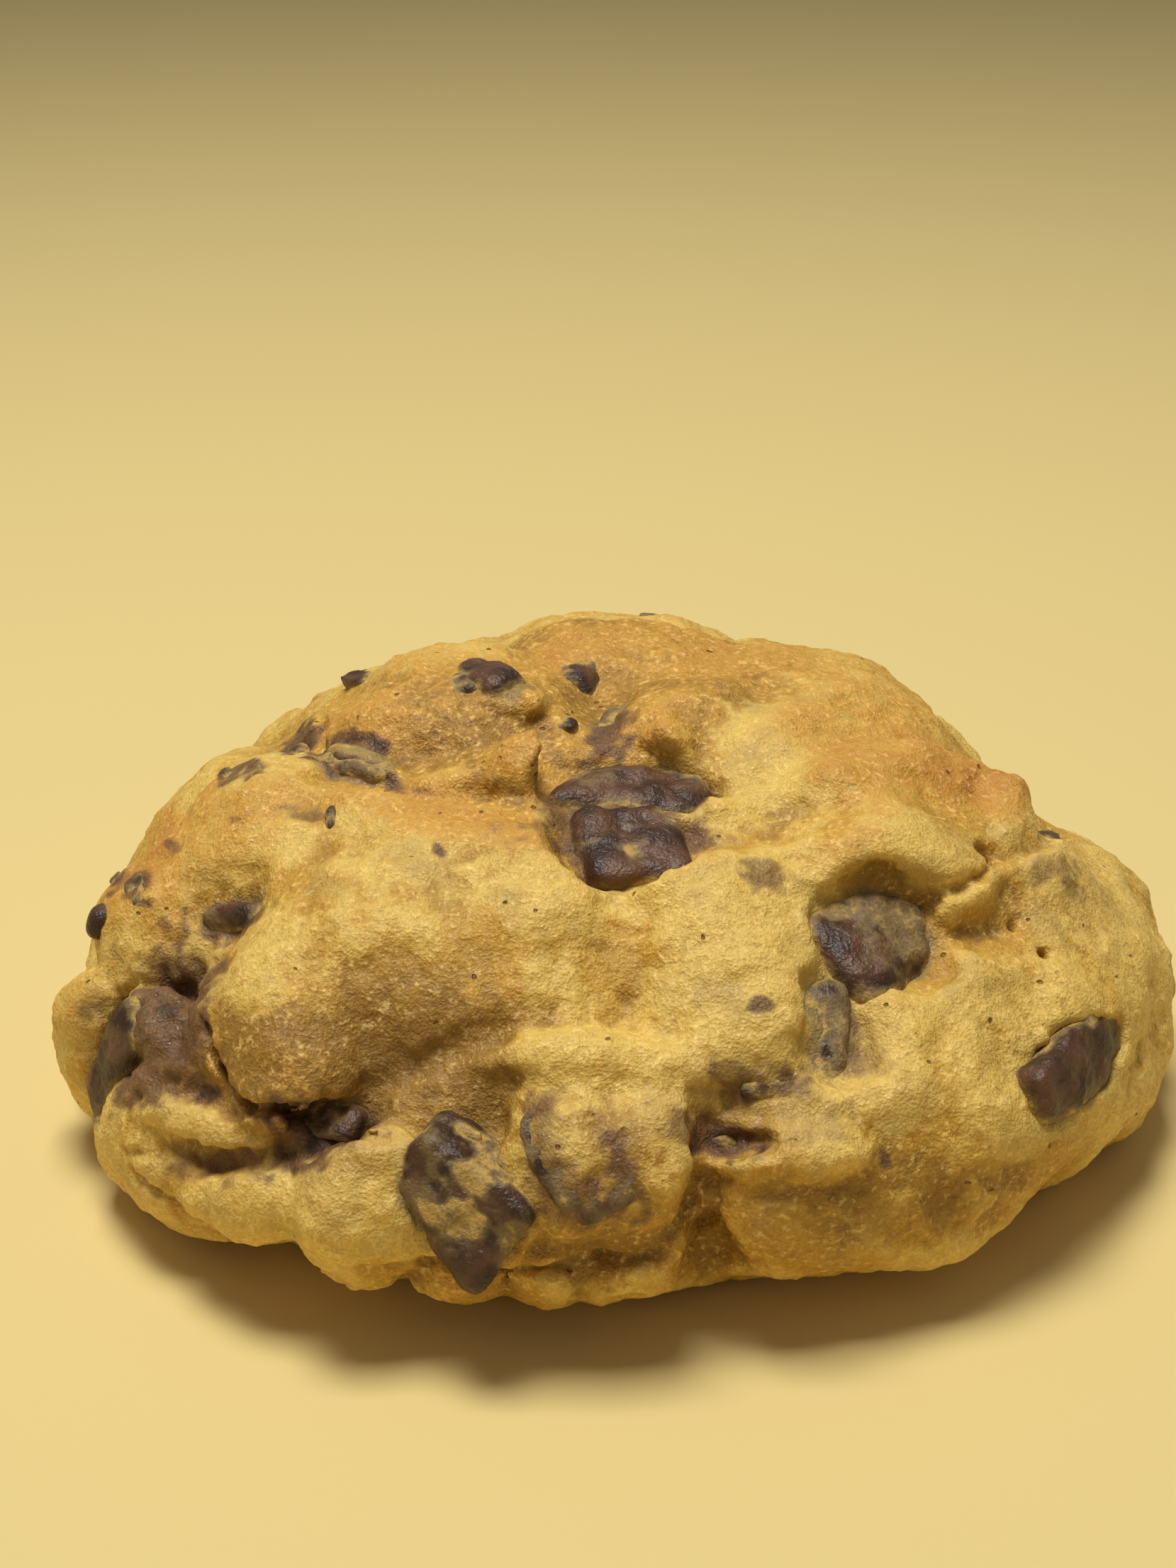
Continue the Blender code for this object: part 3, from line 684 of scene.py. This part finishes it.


# the same numbers for spots of painted light: painted highlight that makes the dough paler (over 0) and painted shade
# that makes it a dark yellow-brown (under 0)
paintedLightSpots = {
    "mound": (20, 45, 6.0, 7.0, -24, 1.1),
    "ridge": (-1, 32, 8.0, 2.6, -3, 1.0),
    "frontLeft": (-23, 10, 7.0, 4.6, 16, 1.3),
    "shelf": (-41, 13, 6.5, 1.8, 20, 0.4),
    "bigTop": (32, 25, 10.0, 5.0, -16, 0.9),
    "domeTop": (66, 70, 9.0, 6.0, -10, 0.3),
    "tongueMiddle": (-26, 40, 11.0, 6.0, 0, -0.3),
    "tongueEnd": (-33, 23, 6.0, 3.4, 0, -1.6),
    "tongueRoot": (-18, 31, 8.0, 4.0, 15, -1.5),
    "overhang": (46, 49, 7.0, 3.6, -16, -0.3),
    "bigFoot": (26, 5, 14.0, 4.0, -6, -0.5),
    "frontRound": (-2, 17, 6.0, 5.0, 0, -0.9),
    "frontFoot": (-6, -5, 14.0, 6.0, 0, -0.8),
    "craterRim": (-6, 66, 4.0, 4.0, 0, 0.2),
    "backTop": (150, 82, 10.0, 8.0, 0, -2.0),
    "leftTop": (-60, 72, 8.0, 5.0, 18, -1.4),
    "craterEdge": (2, 55, 6.0, 3.0, 0, 0.4),
    "tongueBelow": (-30, 20, 5.0, 2.4, 0, -0.8),
    "valley": (-4, 44, 5.0, 6.0, 0, 0.4),
    "browTop": (60, 62, 7.0, 4.0, -12, 0.5),
    "knob": (-25, 71, 3.4, 2.6, 10, -1.0),
    "bigMiddle": (30, 14, 10.0, 4.0, -10, -0.5),
    "centrePale": (4, 78, 5.0, 4.0, 0, -0.6),
}


def settled(mesh, rounds):
    # how far each corner stands out over its surroundings: its offset from the mesh smoothed by neighbours' means
    points, normals = meshPoints(mesh)
    ends = np.zeros(len(mesh.edges) * 2, np.int32)
    mesh.edges.foreach_get("vertices", ends)
    a, b = ends.reshape(-1, 2).T
    count = np.bincount(a, minlength=len(points)) + np.bincount(b, minlength=len(points))
    smooth = points.copy()
    for step in range(rounds):
        smooth = np.stack([(np.bincount(a, smooth[b, i], len(points)) + np.bincount(b, smooth[a, i], len(points)))
                           / count for i in range(3)], 1)
    return ((points - smooth) * normals).sum(1)


def setMask(mesh, name, values):
    mask = mesh.attributes.new(name, "FLOAT", "POINT")
    mask.data.foreach_set("value", np.clip(values, 0, 1).astype(np.float32))


def makeDough(field, chunkRows):
    look = doughLook
    points, faces = surfaceOf(field)
    print("dough: surface of", len(faces), "faces")
    mesh = makeMesh("dough surface", points, faces)
    points, normals = meshPoints(mesh)
    torn = tornness(points)
    fine = sum(grain(points, size, 60 + i) * height for i, (size, height) in enumerate(look["fineGrain"]))
    above = smoothStep(0.0, 0.8, points[:, 2])
    points += normals * (fine * above * (1 + torn))[:, None]
    mesh.vertices.foreach_set("co", (points * mm).ravel())
    mesh = thinOut(mesh, look["mostTriangles"])
    mesh.name = "bakedDough"
    points, normals = meshPoints(mesh)
    stoodOut = settled(mesh, 40)
    broad = grain(points, 8.0, 91)
    height = smoothStep(12, 31, points[:, 2]) * smoothStep(0.1, 0.95, normals[:, 2])
    browned = 0.25 * height + 0.3 * smoothStep(0.05, 0.7, stoodOut) + 0.2 * broad
    for name, row in brownedSpots.items():
        browned = np.maximum(browned, browned + spotMask(points, row, 0.3, 0.6, 7) * row[5] * 0.75)
    browned += 0.5 * (1 - smoothStep(0.2, 2.6, points[:, 2])) * smoothStep(-0.9, 0.2, -normals[:, 2])
    # painted light: spots of painted highlight (over 0) and painted shade (under 0), summed
    paintedLight = sum(spotMask(points, row, 0.3, 0.7, 81) * row[5] for row in paintedLightSpots.values())
    cocoa = np.zeros(len(points))
    for number, row in enumerate(cocoaSpots.values()):
        cocoa = np.maximum(cocoa, spotMask(points, row, 0.7, 0.6, 11 + number) * row[5])
    near = np.zeros(len(points))
    for row in chunkRows:
        away = lobeDistance(*points.T, *lobeFrame(*row[:7]))
        near = np.maximum(near, 1 - smoothStep(-0.2, 0.9, away + 0.5 * grain(points, 1.6, 33)))
    setMask(mesh, "browned", browned)
    setMask(mesh, "cocoa", cocoa)
    setMask(mesh, "film", near)
    setMask(mesh, "torn", tornness(points))
    # painted shade and painted highlight: near 1 where the dough lies lower than its surroundings, near 0 where it
    # stands out, shifted by the painted light spots
    setMask(mesh, "sunk", smoothStep(-0.9, 0.9, -stoodOut) - 0.5 * paintedLight)
    return addPiece("bakedDough", mesh, doughFinish(), ["dough"])


# the dark yellow-brown is the colour of painted shade in low places, and pale serves partly as painted highlight on
# raised places
doughColours = dict(
    pale=(226, 190, 96), golden=(202, 155, 56), paintedShadeOchre=(146, 106, 36), grey=(170, 142, 76), palest=(240, 210, 130),
    browned=(208, 156, 62), dark=(186, 118, 44), torn=(164, 130, 76), film=(134, 114, 70),
    cocoa=(108, 72, 46), cocoaDark=(52, 33, 20), pore=(120, 74, 24),
)
doughGrain = dict(clouds=7.0, mottle=1.4, speckle=0.45, fine=0.2, poreSpacing=2.1, poreWidth=0.10, bumpHeight=0.36)


def doughFinish():
    f = Finish("bakedDough")
    shades = {name: colour(*shade) for name, shade in doughColours.items()}
    size = doughGrain
    browned, cocoa, torn, sunk, film = (f.attribute(name) for name in ("browned", "cocoa", "torn", "sunk", "film"))
    clouds, mottle = f.noise(size["clouds"], 3.0), f.noise(size["mottle"], 3.0)
    speckle, fine = f.noise(size["speckle"], 2.0), f.noise(size["fine"], 1.0)
    # pale and golden dough mixed at random, with painted highlight making raised places paler and painted shade making
    # low places more golden
    skin = f.mix(f.between(clouds + (mottle - 0.5) * 0.5 + (sunk - 0.5) * 0.5, 0.36, 0.62), shades["pale"],
                 shades["golden"])
    skin = f.mix(f.between(f.noise(size["clouds"] * 0.6, 3.0, offset=4.0) + (speckle - 0.5) * 0.3, 0.5, 0.75) * 0.5,
                 skin, shades["grey"])
    # painted shade: low places and the painted shade spots are mixed towards a dark yellow-brown
    skin = f.mix(f.between(sunk + (mottle - 0.5) * 0.4, 0.5, 1.0) * 0.8, skin, shades["paintedShadeOchre"])
    baked = browned + (clouds - 0.5) * 0.7 + (mottle - 0.5) * 0.8 + (speckle - 0.5) * 0.4
    skin = f.mix(f.between(baked, 0.3, 0.85) * 0.85, skin, shades["browned"])
    skin = f.mix(f.between(baked, 0.8, 1.3) * 0.8, skin, shades["dark"])
    skin = f.mix(f.between(speckle + (mottle - 0.5) * 0.4, 0.55, 0.76) * 0.5, skin, shades["palest"])
    skin = f.mix(torn * 0.55, skin, shades["torn"])
    skin = f.mix(f.between(film + (mottle - 0.5) * 0.5, 0.1, 0.8) * 0.75, skin, shades["film"])
    rubbed = cocoa + ((mottle - 0.5) * 0.5 + (speckle - 0.5) * 0.4) * f.between(cocoa, 0.02, 0.3)
    skin = f.mix(f.between(rubbed, 0.15, 0.75) * 0.85, skin, shades["cocoa"])
    skin = f.mix(f.between(rubbed + (speckle - 0.5) * 0.4, 0.7, 1.1) * 0.8, skin, shades["cocoaDark"])
    light = 1.0 + (mottle - 0.5) * 0.2 + (speckle - 0.5) * 0.6 + (fine - 0.5) * 0.5
    skin = f.mix(1.0, skin, f.add("ShaderNodeCombineColor", values={0: light, 1: light, 2: light}), "MULTIPLY")
    # a few round pores, each painted dark as painted shade in its pit as well as dented by the bump: near the middle of
    # those cells whose random colour value is high
    bent = f.add("ShaderNodeVectorMath", {"operation": "ADD"}, {0: f.place(), 1: f.add("ShaderNodeVectorMath",
                 {"operation": "SCALE"}, {0: f.noiseColour(0.8), "Scale": 0.5 * mm})})
    cells = {"Vector": bent, "Scale": 1 / (size["poreSpacing"] * mm)}
    away = f.add("ShaderNodeTexVoronoi", {"feature": "F1"}, cells)
    chance = f.add("ShaderNodeSeparateColor", values={0: f.add("ShaderNodeTexVoronoi", {"feature": "F1"}, cells, 1)})
    pore = (1 - f.between(away, size["poreWidth"] * 0.5, size["poreWidth"])) * f.between(chance, 0.35, 0.6)
    skin = f.mix(pore * 0.85, skin, shades["pore"])
    height = speckle * 0.45 + fine * 0.35 + mottle * 0.5 - pore * 1.2
    normal = f.bump(height, size["bumpHeight"], 1.0)
    f.shade({"Base Color": skin, "Roughness": 0.62 - f.between(fine, 0.5, 0.72) * 0.32, "Normal": normal,
             "Subsurface Weight": 0.25, "Subsurface Radius": (1.0, 0.5, 0.15), "Subsurface Scale": 0.0018,
             "Specular IOR Level": 0.5})
    return f.material


# Chocolate: chunks, small chips, a half-melted curl and one bead

chunkLook = dict(rings=60, around=90, lumps=((3.0, 0.10), (1.4, 0.06), (0.5, 0.022)), facets=5)
# CAD node: bearing, climb, stand, half across, half uphill, half thick, turn, corner sharpness, how far it stands bare
# of the dough, and how much of it a film of dough covers
chunks = {
    "crater_chunk_back": (10, 73, -2.0, 5.4, 3.0, 2.6, -12, 2.4, 1.2, 0.0),
    "crater_chunk_front": (4, 63, -1.1, 4.2, 4.3, 2.8, 16, 3.0, 1.4, 0.0),
    "hollow_chunk": (37.6, 45.3, -1.3, 4.4, 5.2, 2.8, 18, 2.2, 1.0, 0.3),
    "low_chunk": (23.5, 33.5, -1.0, 2.1, 4.0, 2.0, -25, 1.8, 0.4, 0.50),
    "right_chunk": (47.5, 16, 1.8, 6.0, 2.7, 2.8, 6, 3.4, 1.5, 0.0),
    "front_chunk": (-12.8, 12.8, 2.3, 3.2, 4.4, 2.5, 54, 3.6, 1.2, 0.3),
    "left_slab": (-55, 11, 0.3, 2.3, 5.6, 2.6, -20, 2.2, 1.0, 0.05),
    "under_tongue_chunk": (-27, 19, -0.6, 2.8, 1.3, 2.6, 7, 2.0, 0.4, 0.15),
    "pyramid_chunk": (-71, 78.3, 2.5, 3.2, 2.0, 2.4, 24, 3.2, 1.2, 0),
    "rim_chunk": (0, 84, -1.3, 1.0, 3.4, 1.8, -20, 1.8, 0.4, 0.20),
    "swirl_chunk": (-63, 61, 1.0, 4.2, 1.6, 1.8, 31, 1.8, 0.35, 0.45),
    "crust_chunk": (-50, 40, -0.2, 3.6, 1.3, 1.8, 24, 1.8, 0.5, 0.35),
    "flap_chunk": (-62, 17, 0.4, 1.4, 1.7, 1.6, 0, 1.8, 0.4, 0.2),
    "back_chunk_a": (155, 38, -1.6, 4.2, 3.0, 2.8, 25, 2.2, 0.8, 0.3),
    "back_chunk_b": (-152, 30, -1.5, 3.4, 4.4, 2.8, -20, 2.2, 0.8, 0.35),
    "back_chunk_c": (122, 10, -2.4, 3.0, 3.8, 2.6, 15, 2.0, 0.8, 0.3),
}


def ballGrid(rings, around):
    # directions out of a ball in two parameters, up it and round it, each pole one point; faces close its seam
    up = np.linspace(-math.pi / 2, math.pi / 2, rings + 2)[1:-1, None]
    turn = np.linspace(0, 2 * math.pi, around, endpoint=False)[None, :]
    side = np.stack([np.cos(up) * np.cos(turn), np.cos(up) * np.sin(turn), np.sin(up) + 0 * turn], -1)
    directions = np.concatenate([[[0, 0, -1]], side.reshape(-1, 3), [[0, 0, 1]]])
    number = 1 + np.arange(rings * around).reshape(rings, around)
    after = np.roll(number, -1, 1)
    quads = np.stack([number[:-1], after[:-1], after[1:], number[1:]], -1).reshape(-1, 4)
    bottom = np.stack([np.zeros(around, int), after[0], number[0]], -1)
    top = np.stack([np.full(around, len(directions) - 1), number[-1], after[-1]], -1)
    return directions, quads.tolist() + bottom.tolist() + top.tolist()


def brokenBall(directions, sharpness, facets, seed):
    # a rounded block: a direction's reach is (sum of (its share of each face's normal) ** power) ** (-1 / power),
    # over the six sides of a box, a little tilted, and a few corners knocked off
    rng = np.random.default_rng(seed)
    box = np.concatenate([np.eye(3), -np.eye(3)]) + rng.normal(size=(6, 3)) * 0.10
    chips = rng.normal(size=(facets, 3))
    chips /= np.linalg.norm(chips, axis=1)[:, None] * rng.uniform(1.05, 1.25, (facets, 1))
    shares = np.maximum(directions @ np.concatenate([box, chips]).T, 0)
    power = 2 * sharpness
    return directions * ((shares ** power).sum(-1) ** (-1 / power))[:, None]


def chunkSurface(row, rings, around, lumps, facets, seed):
    directions, faces = ballGrid(rings, around)
    shape = brokenBall(directions, row[7], facets, seed)
    middle, axes, sizes = lobeFrame(*row[:7])
    points = middle + (shape * sizes) @ axes.T
    size = float(sizes.mean())
    outward = (shape / sizes) @ axes.T
    outward /= np.linalg.norm(outward, axis=1)[:, None]
    raised = sum(grain(points, scale, seed + 7 * i) * push for i, (scale, push) in enumerate(lumps))
    return points + outward * (raised * size)[:, None], faces


# bearing, climb, half across, half uphill, turn, strength of each patch of dough left on the chocolate
smears = {
    "frontUpper": (-11.5, 17, 1.7, 1.4, 24, 1.0),
    "frontMiddle": (-13, 11, 2.2, 1.3, 0, 1.2),
    "frontRim": (-7.5, 6, 1.0, 2.4, 0, 0.8),
    "frontCorner": (-9, 19, 1.6, 1.6, 0, 0.9),
    "hollowRight": (40, 43, 3.0, 3.4, 22, 0.8),
    "hollowUpper": (34, 50, 3.0, 2.0, 0, 0.9),
    "lowRight": (25, 31, 1.6, 2.6, -15, 0.8),
    "craterLeft": (-7, 74, 2.0, 1.8, 0, 0.5),
}


def makeChunk(node, row, field, material, seed):
    look = chunkLook
    points, faces = chunkSurface(row, look["rings"], look["around"], look["lumps"], look["facets"], seed)
    mesh = makeMesh(node, points, faces)
    name = "".join(word.capitalize() if i else word for i, word in enumerate(node.split("_")))
    over = field.read(points)
    edge = 1 - smoothStep(0.0, 0.6, over + 0.3 * grain(points, 1.1, seed + 50))
    clouds = grain(points, 3.4, seed + 60) + 0.5 * grain(points, 1.3, seed + 61)
    film = np.maximum(edge, 0.75 * smoothStep(-0.5, 0.5, clouds + (row[9] - 0.5) * 2))
    for number, spot in enumerate(smears.values()):
        film = np.maximum(film, spotMask(points, spot, 0.4, 0.3, 500 + number) * spot[5])
    setMask(mesh, "film", film)
    return addPiece(name, mesh, material, [node])


# bearing, climb, height over the skin, half across, half uphill, half thick, turn
chips = {
    "topRight": (-151, 84, 0.6, 2.4, 1.5, 1.4, 63),
    "topMiddle": (-71, 75, 0.4, 1.4, 1.1, 1.0, 5),
    "topLow": (-66, 80, 0.4, 1.8, 1.3, 1.1, 7),
    "leftTop": (-83, 57, 0.3, 3.0, 1.2, 1.0, 7),
    "crustDent": (-72, 50, 0.1, 2.4, 0.8, 0.8, 22),
    "crustBlotchA": (-70, 31, 0.1, 1.5, 0.6, 0.7, 0),
    "crustBlotchB": (-64, 34, 0.1, 1.6, 0.8, 0.7, -8),
    "crustEdge": (-48, 54, 0.3, 0.9, 0.4, 0.6, -36),
    "leftBack": (-102, 64, 0.3, 0.9, 2.0, 0.8, -37),
    "shoulder": (78, 38, 0.2, 2.2, 0.9, 0.8, -17),
    "domeTop": (108, 61, 0.2, 0.6, 1.5, 0.7, 43),
    "slot": (11, 20, 0.2, 2.0, 0.7, 0.8, -6),
    "backUpper": (172, 42, 0.4, 1.8, 1.3, 1.1, 15),
    "backMiddle": (-172, 30, 0.3, 2.2, 1.5, 1.2, -25),
    "backSide": (138, 22, 0.3, 1.6, 2.0, 1.1, 10),
    "backLeftSide": (-118, 24, 0.3, 2.0, 1.4, 1.1, -30),
    "backLeftTop": (-128, 52, 0.3, 1.4, 1.2, 1.0, 30),
    "rightUpper": (53, 17.5, 0.7, 2.8, 1.7, 1.6, -4),
    "slotSide": (15, 28, 0.2, 1.4, 0.9, 0.8, -8),
    "rimLow": (-29, 81, 0.2, 1.2, 0.9, 0.8, 16),
}
chipLook = dict(rings=16, around=24, lumps=((1.0, 0.10), (0.4, 0.04)), facets=6, sharpness=3.4)


def makeChips(field, material):
    look = chipLook
    allPoints, allFaces, count = [], [], 0
    for seed, row in enumerate(chips.values()):
        stand = float(field.skin(row[0], row[1])) + row[2]
        place = (row[0], row[1], stand, *row[3:7], look["sharpness"])
        points, faces = chunkSurface(place, look["rings"], look["around"], look["lumps"], look["facets"], 300 + seed)
        allPoints.append(points)
        allFaces += [[corner + count for corner in face] for face in faces]
        count += len(points)
    points = np.concatenate(allPoints)
    mesh = makeMesh("chocolateChips", points, allFaces)
    over = field.read(points)
    setMask(mesh, "film", 1 - smoothStep(0.0, 0.5, over + 0.4 * grain(points, 0.9, 71)))
    return addPiece("chocolateChips", mesh, material, [])


# bearing and climb of the curl's middle line
curlRoute = ((-6.2, 26), (-7.3, 23.5), (-6.3, 20.5), (-4.7, 17.8), (-3.4, 15), (-1.8, 13.8), (0.2, 15), (1.5, 17),
             (1.7, 19.2), (0.4, 21.4))
curlLook = dict(halfWidth=1.0, halfHeight=0.34, sink=0.18, along=120, around=28)


def makeCurl(field, material):
    # a flat bead of melted chocolate: an oval carried along its route on the skin, thin at both ends
    look = curlLook
    way = smoothRoute(curlRoute, look["along"])
    stand = field.skin(way[:, 0], way[:, 1])
    stand = np.convolve(np.pad(stand, 6, mode="edge"), np.ones(13) / 13, "valid")
    middle, axes = domeFrame(way[:, 0], way[:, 1], stand - look["sink"])
    ahead = np.gradient(middle, axis=0)
    ahead /= np.linalg.norm(ahead, axis=1)[:, None]
    out = axes[:, :, 2] - ahead * (axes[:, :, 2] * ahead).sum(1)[:, None]
    out /= np.linalg.norm(out, axis=1)[:, None]
    side = np.cross(ahead, out)
    along = np.linspace(0, math.pi, look["along"])
    width = look["halfWidth"] * (0.25 + 0.75 * np.sin(along) ** 0.7) * (1 + 0.35 * grain(middle, 1.8, 21))
    height = look["halfHeight"] * (0.3 + 0.7 * np.sin(along) ** 0.7)
    turn = np.linspace(0, 2 * math.pi, look["around"], endpoint=False)
    rings = (middle[:, None] + side[:, None] * (width[:, None] * np.cos(turn))[..., None]
             + out[:, None] * (height[:, None] * np.sin(turn))[..., None])
    points = np.concatenate([middle[:1] - ahead[:1] * 0.2, rings.reshape(-1, 3), middle[-1:] + ahead[-1:] * 0.2])
    faces = ballGrid(look["along"], look["around"])[1]
    points += 0.06 * grain(points, 0.7, 23)[:, None]
    mesh = makeMesh("chocolateCurl", points, faces)
    setMask(mesh, "film", 0.55 + 0.5 * grain(points, 1.3, 29))
    return addPiece("chocolateCurl", mesh, material, ["chocolate_curl"])


beadLook = dict(bearing=-66.0, climb=27, stand=1.0, size=1.1, rings=24, around=36)


def makeBead(field, material):
    # a drop of chocolate that hangs clear of the crust's edge, longer than it is wide
    look = beadLook
    stand = float(field.skin(look["bearing"], look["climb"])) + look["stand"]
    row = (look["bearing"], look["climb"], stand, look["size"] * 0.85, look["size"] * 1.15, look["size"], 0, 1.1)
    points, faces = chunkSurface(row, look["rings"], look["around"], ((1.2, 0.06),), 0, 5)
    mesh = makeMesh("chocolateBead", points, faces)
    setMask(mesh, "film", np.zeros(len(points)))
    return addPiece("chocolateBead", mesh, material, [])


chocolateColours = dict(brown=(104, 68, 44), dark=(54, 34, 22), bloom=(106, 84, 62), film=(132, 110, 70), dough=(198, 162, 84))


def chocolateFinish():
    f = Finish("chocolate")
    shades = {name: colour(*shade) for name, shade in chocolateColours.items()}
    film = f.attribute("film")
    clouds, mottle, fine = f.noise(2.4, 3.0), f.noise(0.8, 3.0), f.noise(0.25, 2.0)
    skin = f.mix(f.between(clouds, 0.35, 0.7), shades["dark"], shades["brown"])
    skin = f.mix(f.between(mottle + (clouds - 0.5) * 0.6, 0.5, 0.85) * 0.5, skin, shades["bloom"])
    dusted = film + (mottle - 0.5) * 0.9 + (fine - 0.5) * 0.5
    skin = f.mix(f.between(dusted, 0.1, 0.8) * 0.85, skin, shades["film"])
    skin = f.mix(f.between(dusted, 0.75, 1.1) * 0.8, skin, shades["dough"])
    height = mottle * 0.6 + fine * 0.45
    normal = f.bump(height, 0.28, 1.0)
    f.shade({"Base Color": skin, "Roughness": 0.46 + f.between(dusted, 0.3, 0.9) * 0.25 - f.between(fine, 0.55, 0.75) * 0.2,
             "Normal": normal, "Specular IOR Level": 0.5})
    return f.material


# Studio: a pale floor, a big soft light high behind the cookie, a camera looking down on its front

studio = dict(
    cameraPlace=(-1.47, -153.06, 96.84), cameraTilt=26.2, halfView=0.261,
    keyPlace=(-60.0, 0.0, 560.0), keySize=0.20, keyPower=2.9, keyColour=(1.0, 0.97, 0.92),
    skyColour=(1.0, 0.96, 0.90), skyPower=0.19, floorColour=(228, 206, 138), floorSize=2000.0,
)


def addFloor():
    half = studio["floorSize"] / 2
    mesh = makeMesh("paleFloor", [(-half, -half, 0), (half, -half, 0), (half, half, 0), (-half, half, 0)],
                    [(0, 1, 2, 3)])
    f = Finish("paleFloor")
    f.shade({"Base Color": colour(*studio["floorColour"]), "Roughness": 0.85})
    mesh.materials.append(f.material)
    floor = bpy.data.objects.new("paleFloor", mesh)
    bpy.context.scene.collection.objects.link(floor)


def addStudio():
    scene = bpy.context.scene
    sky = bpy.data.worlds.new("softRoom")
    sky.use_nodes = True
    background = sky.node_tree.nodes["Background"]
    background.inputs["Color"].default_value = (*studio["skyColour"], 1)
    background.inputs["Strength"].default_value = studio["skyPower"]
    scene.world = sky
    lamp = bpy.data.lights.new("overheadSoftbox", "AREA")
    lamp.size, lamp.energy, lamp.color = studio["keySize"], studio["keyPower"], studio["keyColour"]
    key = bpy.data.objects.new("overheadSoftbox", lamp)
    key.location = Vector(studio["keyPlace"]) * mm
    key.rotation_euler = (-key.location).to_track_quat("-Z", "Y").to_euler()
    scene.collection.objects.link(key)
    eye = bpy.data.cameras.new("camera")
    eye.lens = eye.sensor_width / 2 / (studio["halfView"] * 4 / 3)
    eye.clip_start = 0.01
    camera = bpy.data.objects.new("camera", eye)
    x, y, z = studio["cameraPlace"]
    camera.location = Vector((x + dome["centreX"], y + dome["centreY"], z)) * mm
    camera.rotation_euler = (math.radians(90 - studio["cameraTilt"]), 0, 0)
    scene.collection.objects.link(camera)
    scene.camera = camera
    scene.view_settings.view_transform = "Standard"


addFloor()
addStudio()
print("studio: floor, light and camera placed")
field = crumbField()
makeDough(field, chunks.values())
print("dough: finished")
chocolate = chocolateFinish()
for seed, (node, row) in enumerate(chunks.items()):
    makeChunk(node, row, field, chocolate, 100 + seed)
makeChips(field, chocolate)
makeCurl(field, chocolate)
makeBead(field, chocolate)
print("chocolate: chunks, chips, curl and bead made")
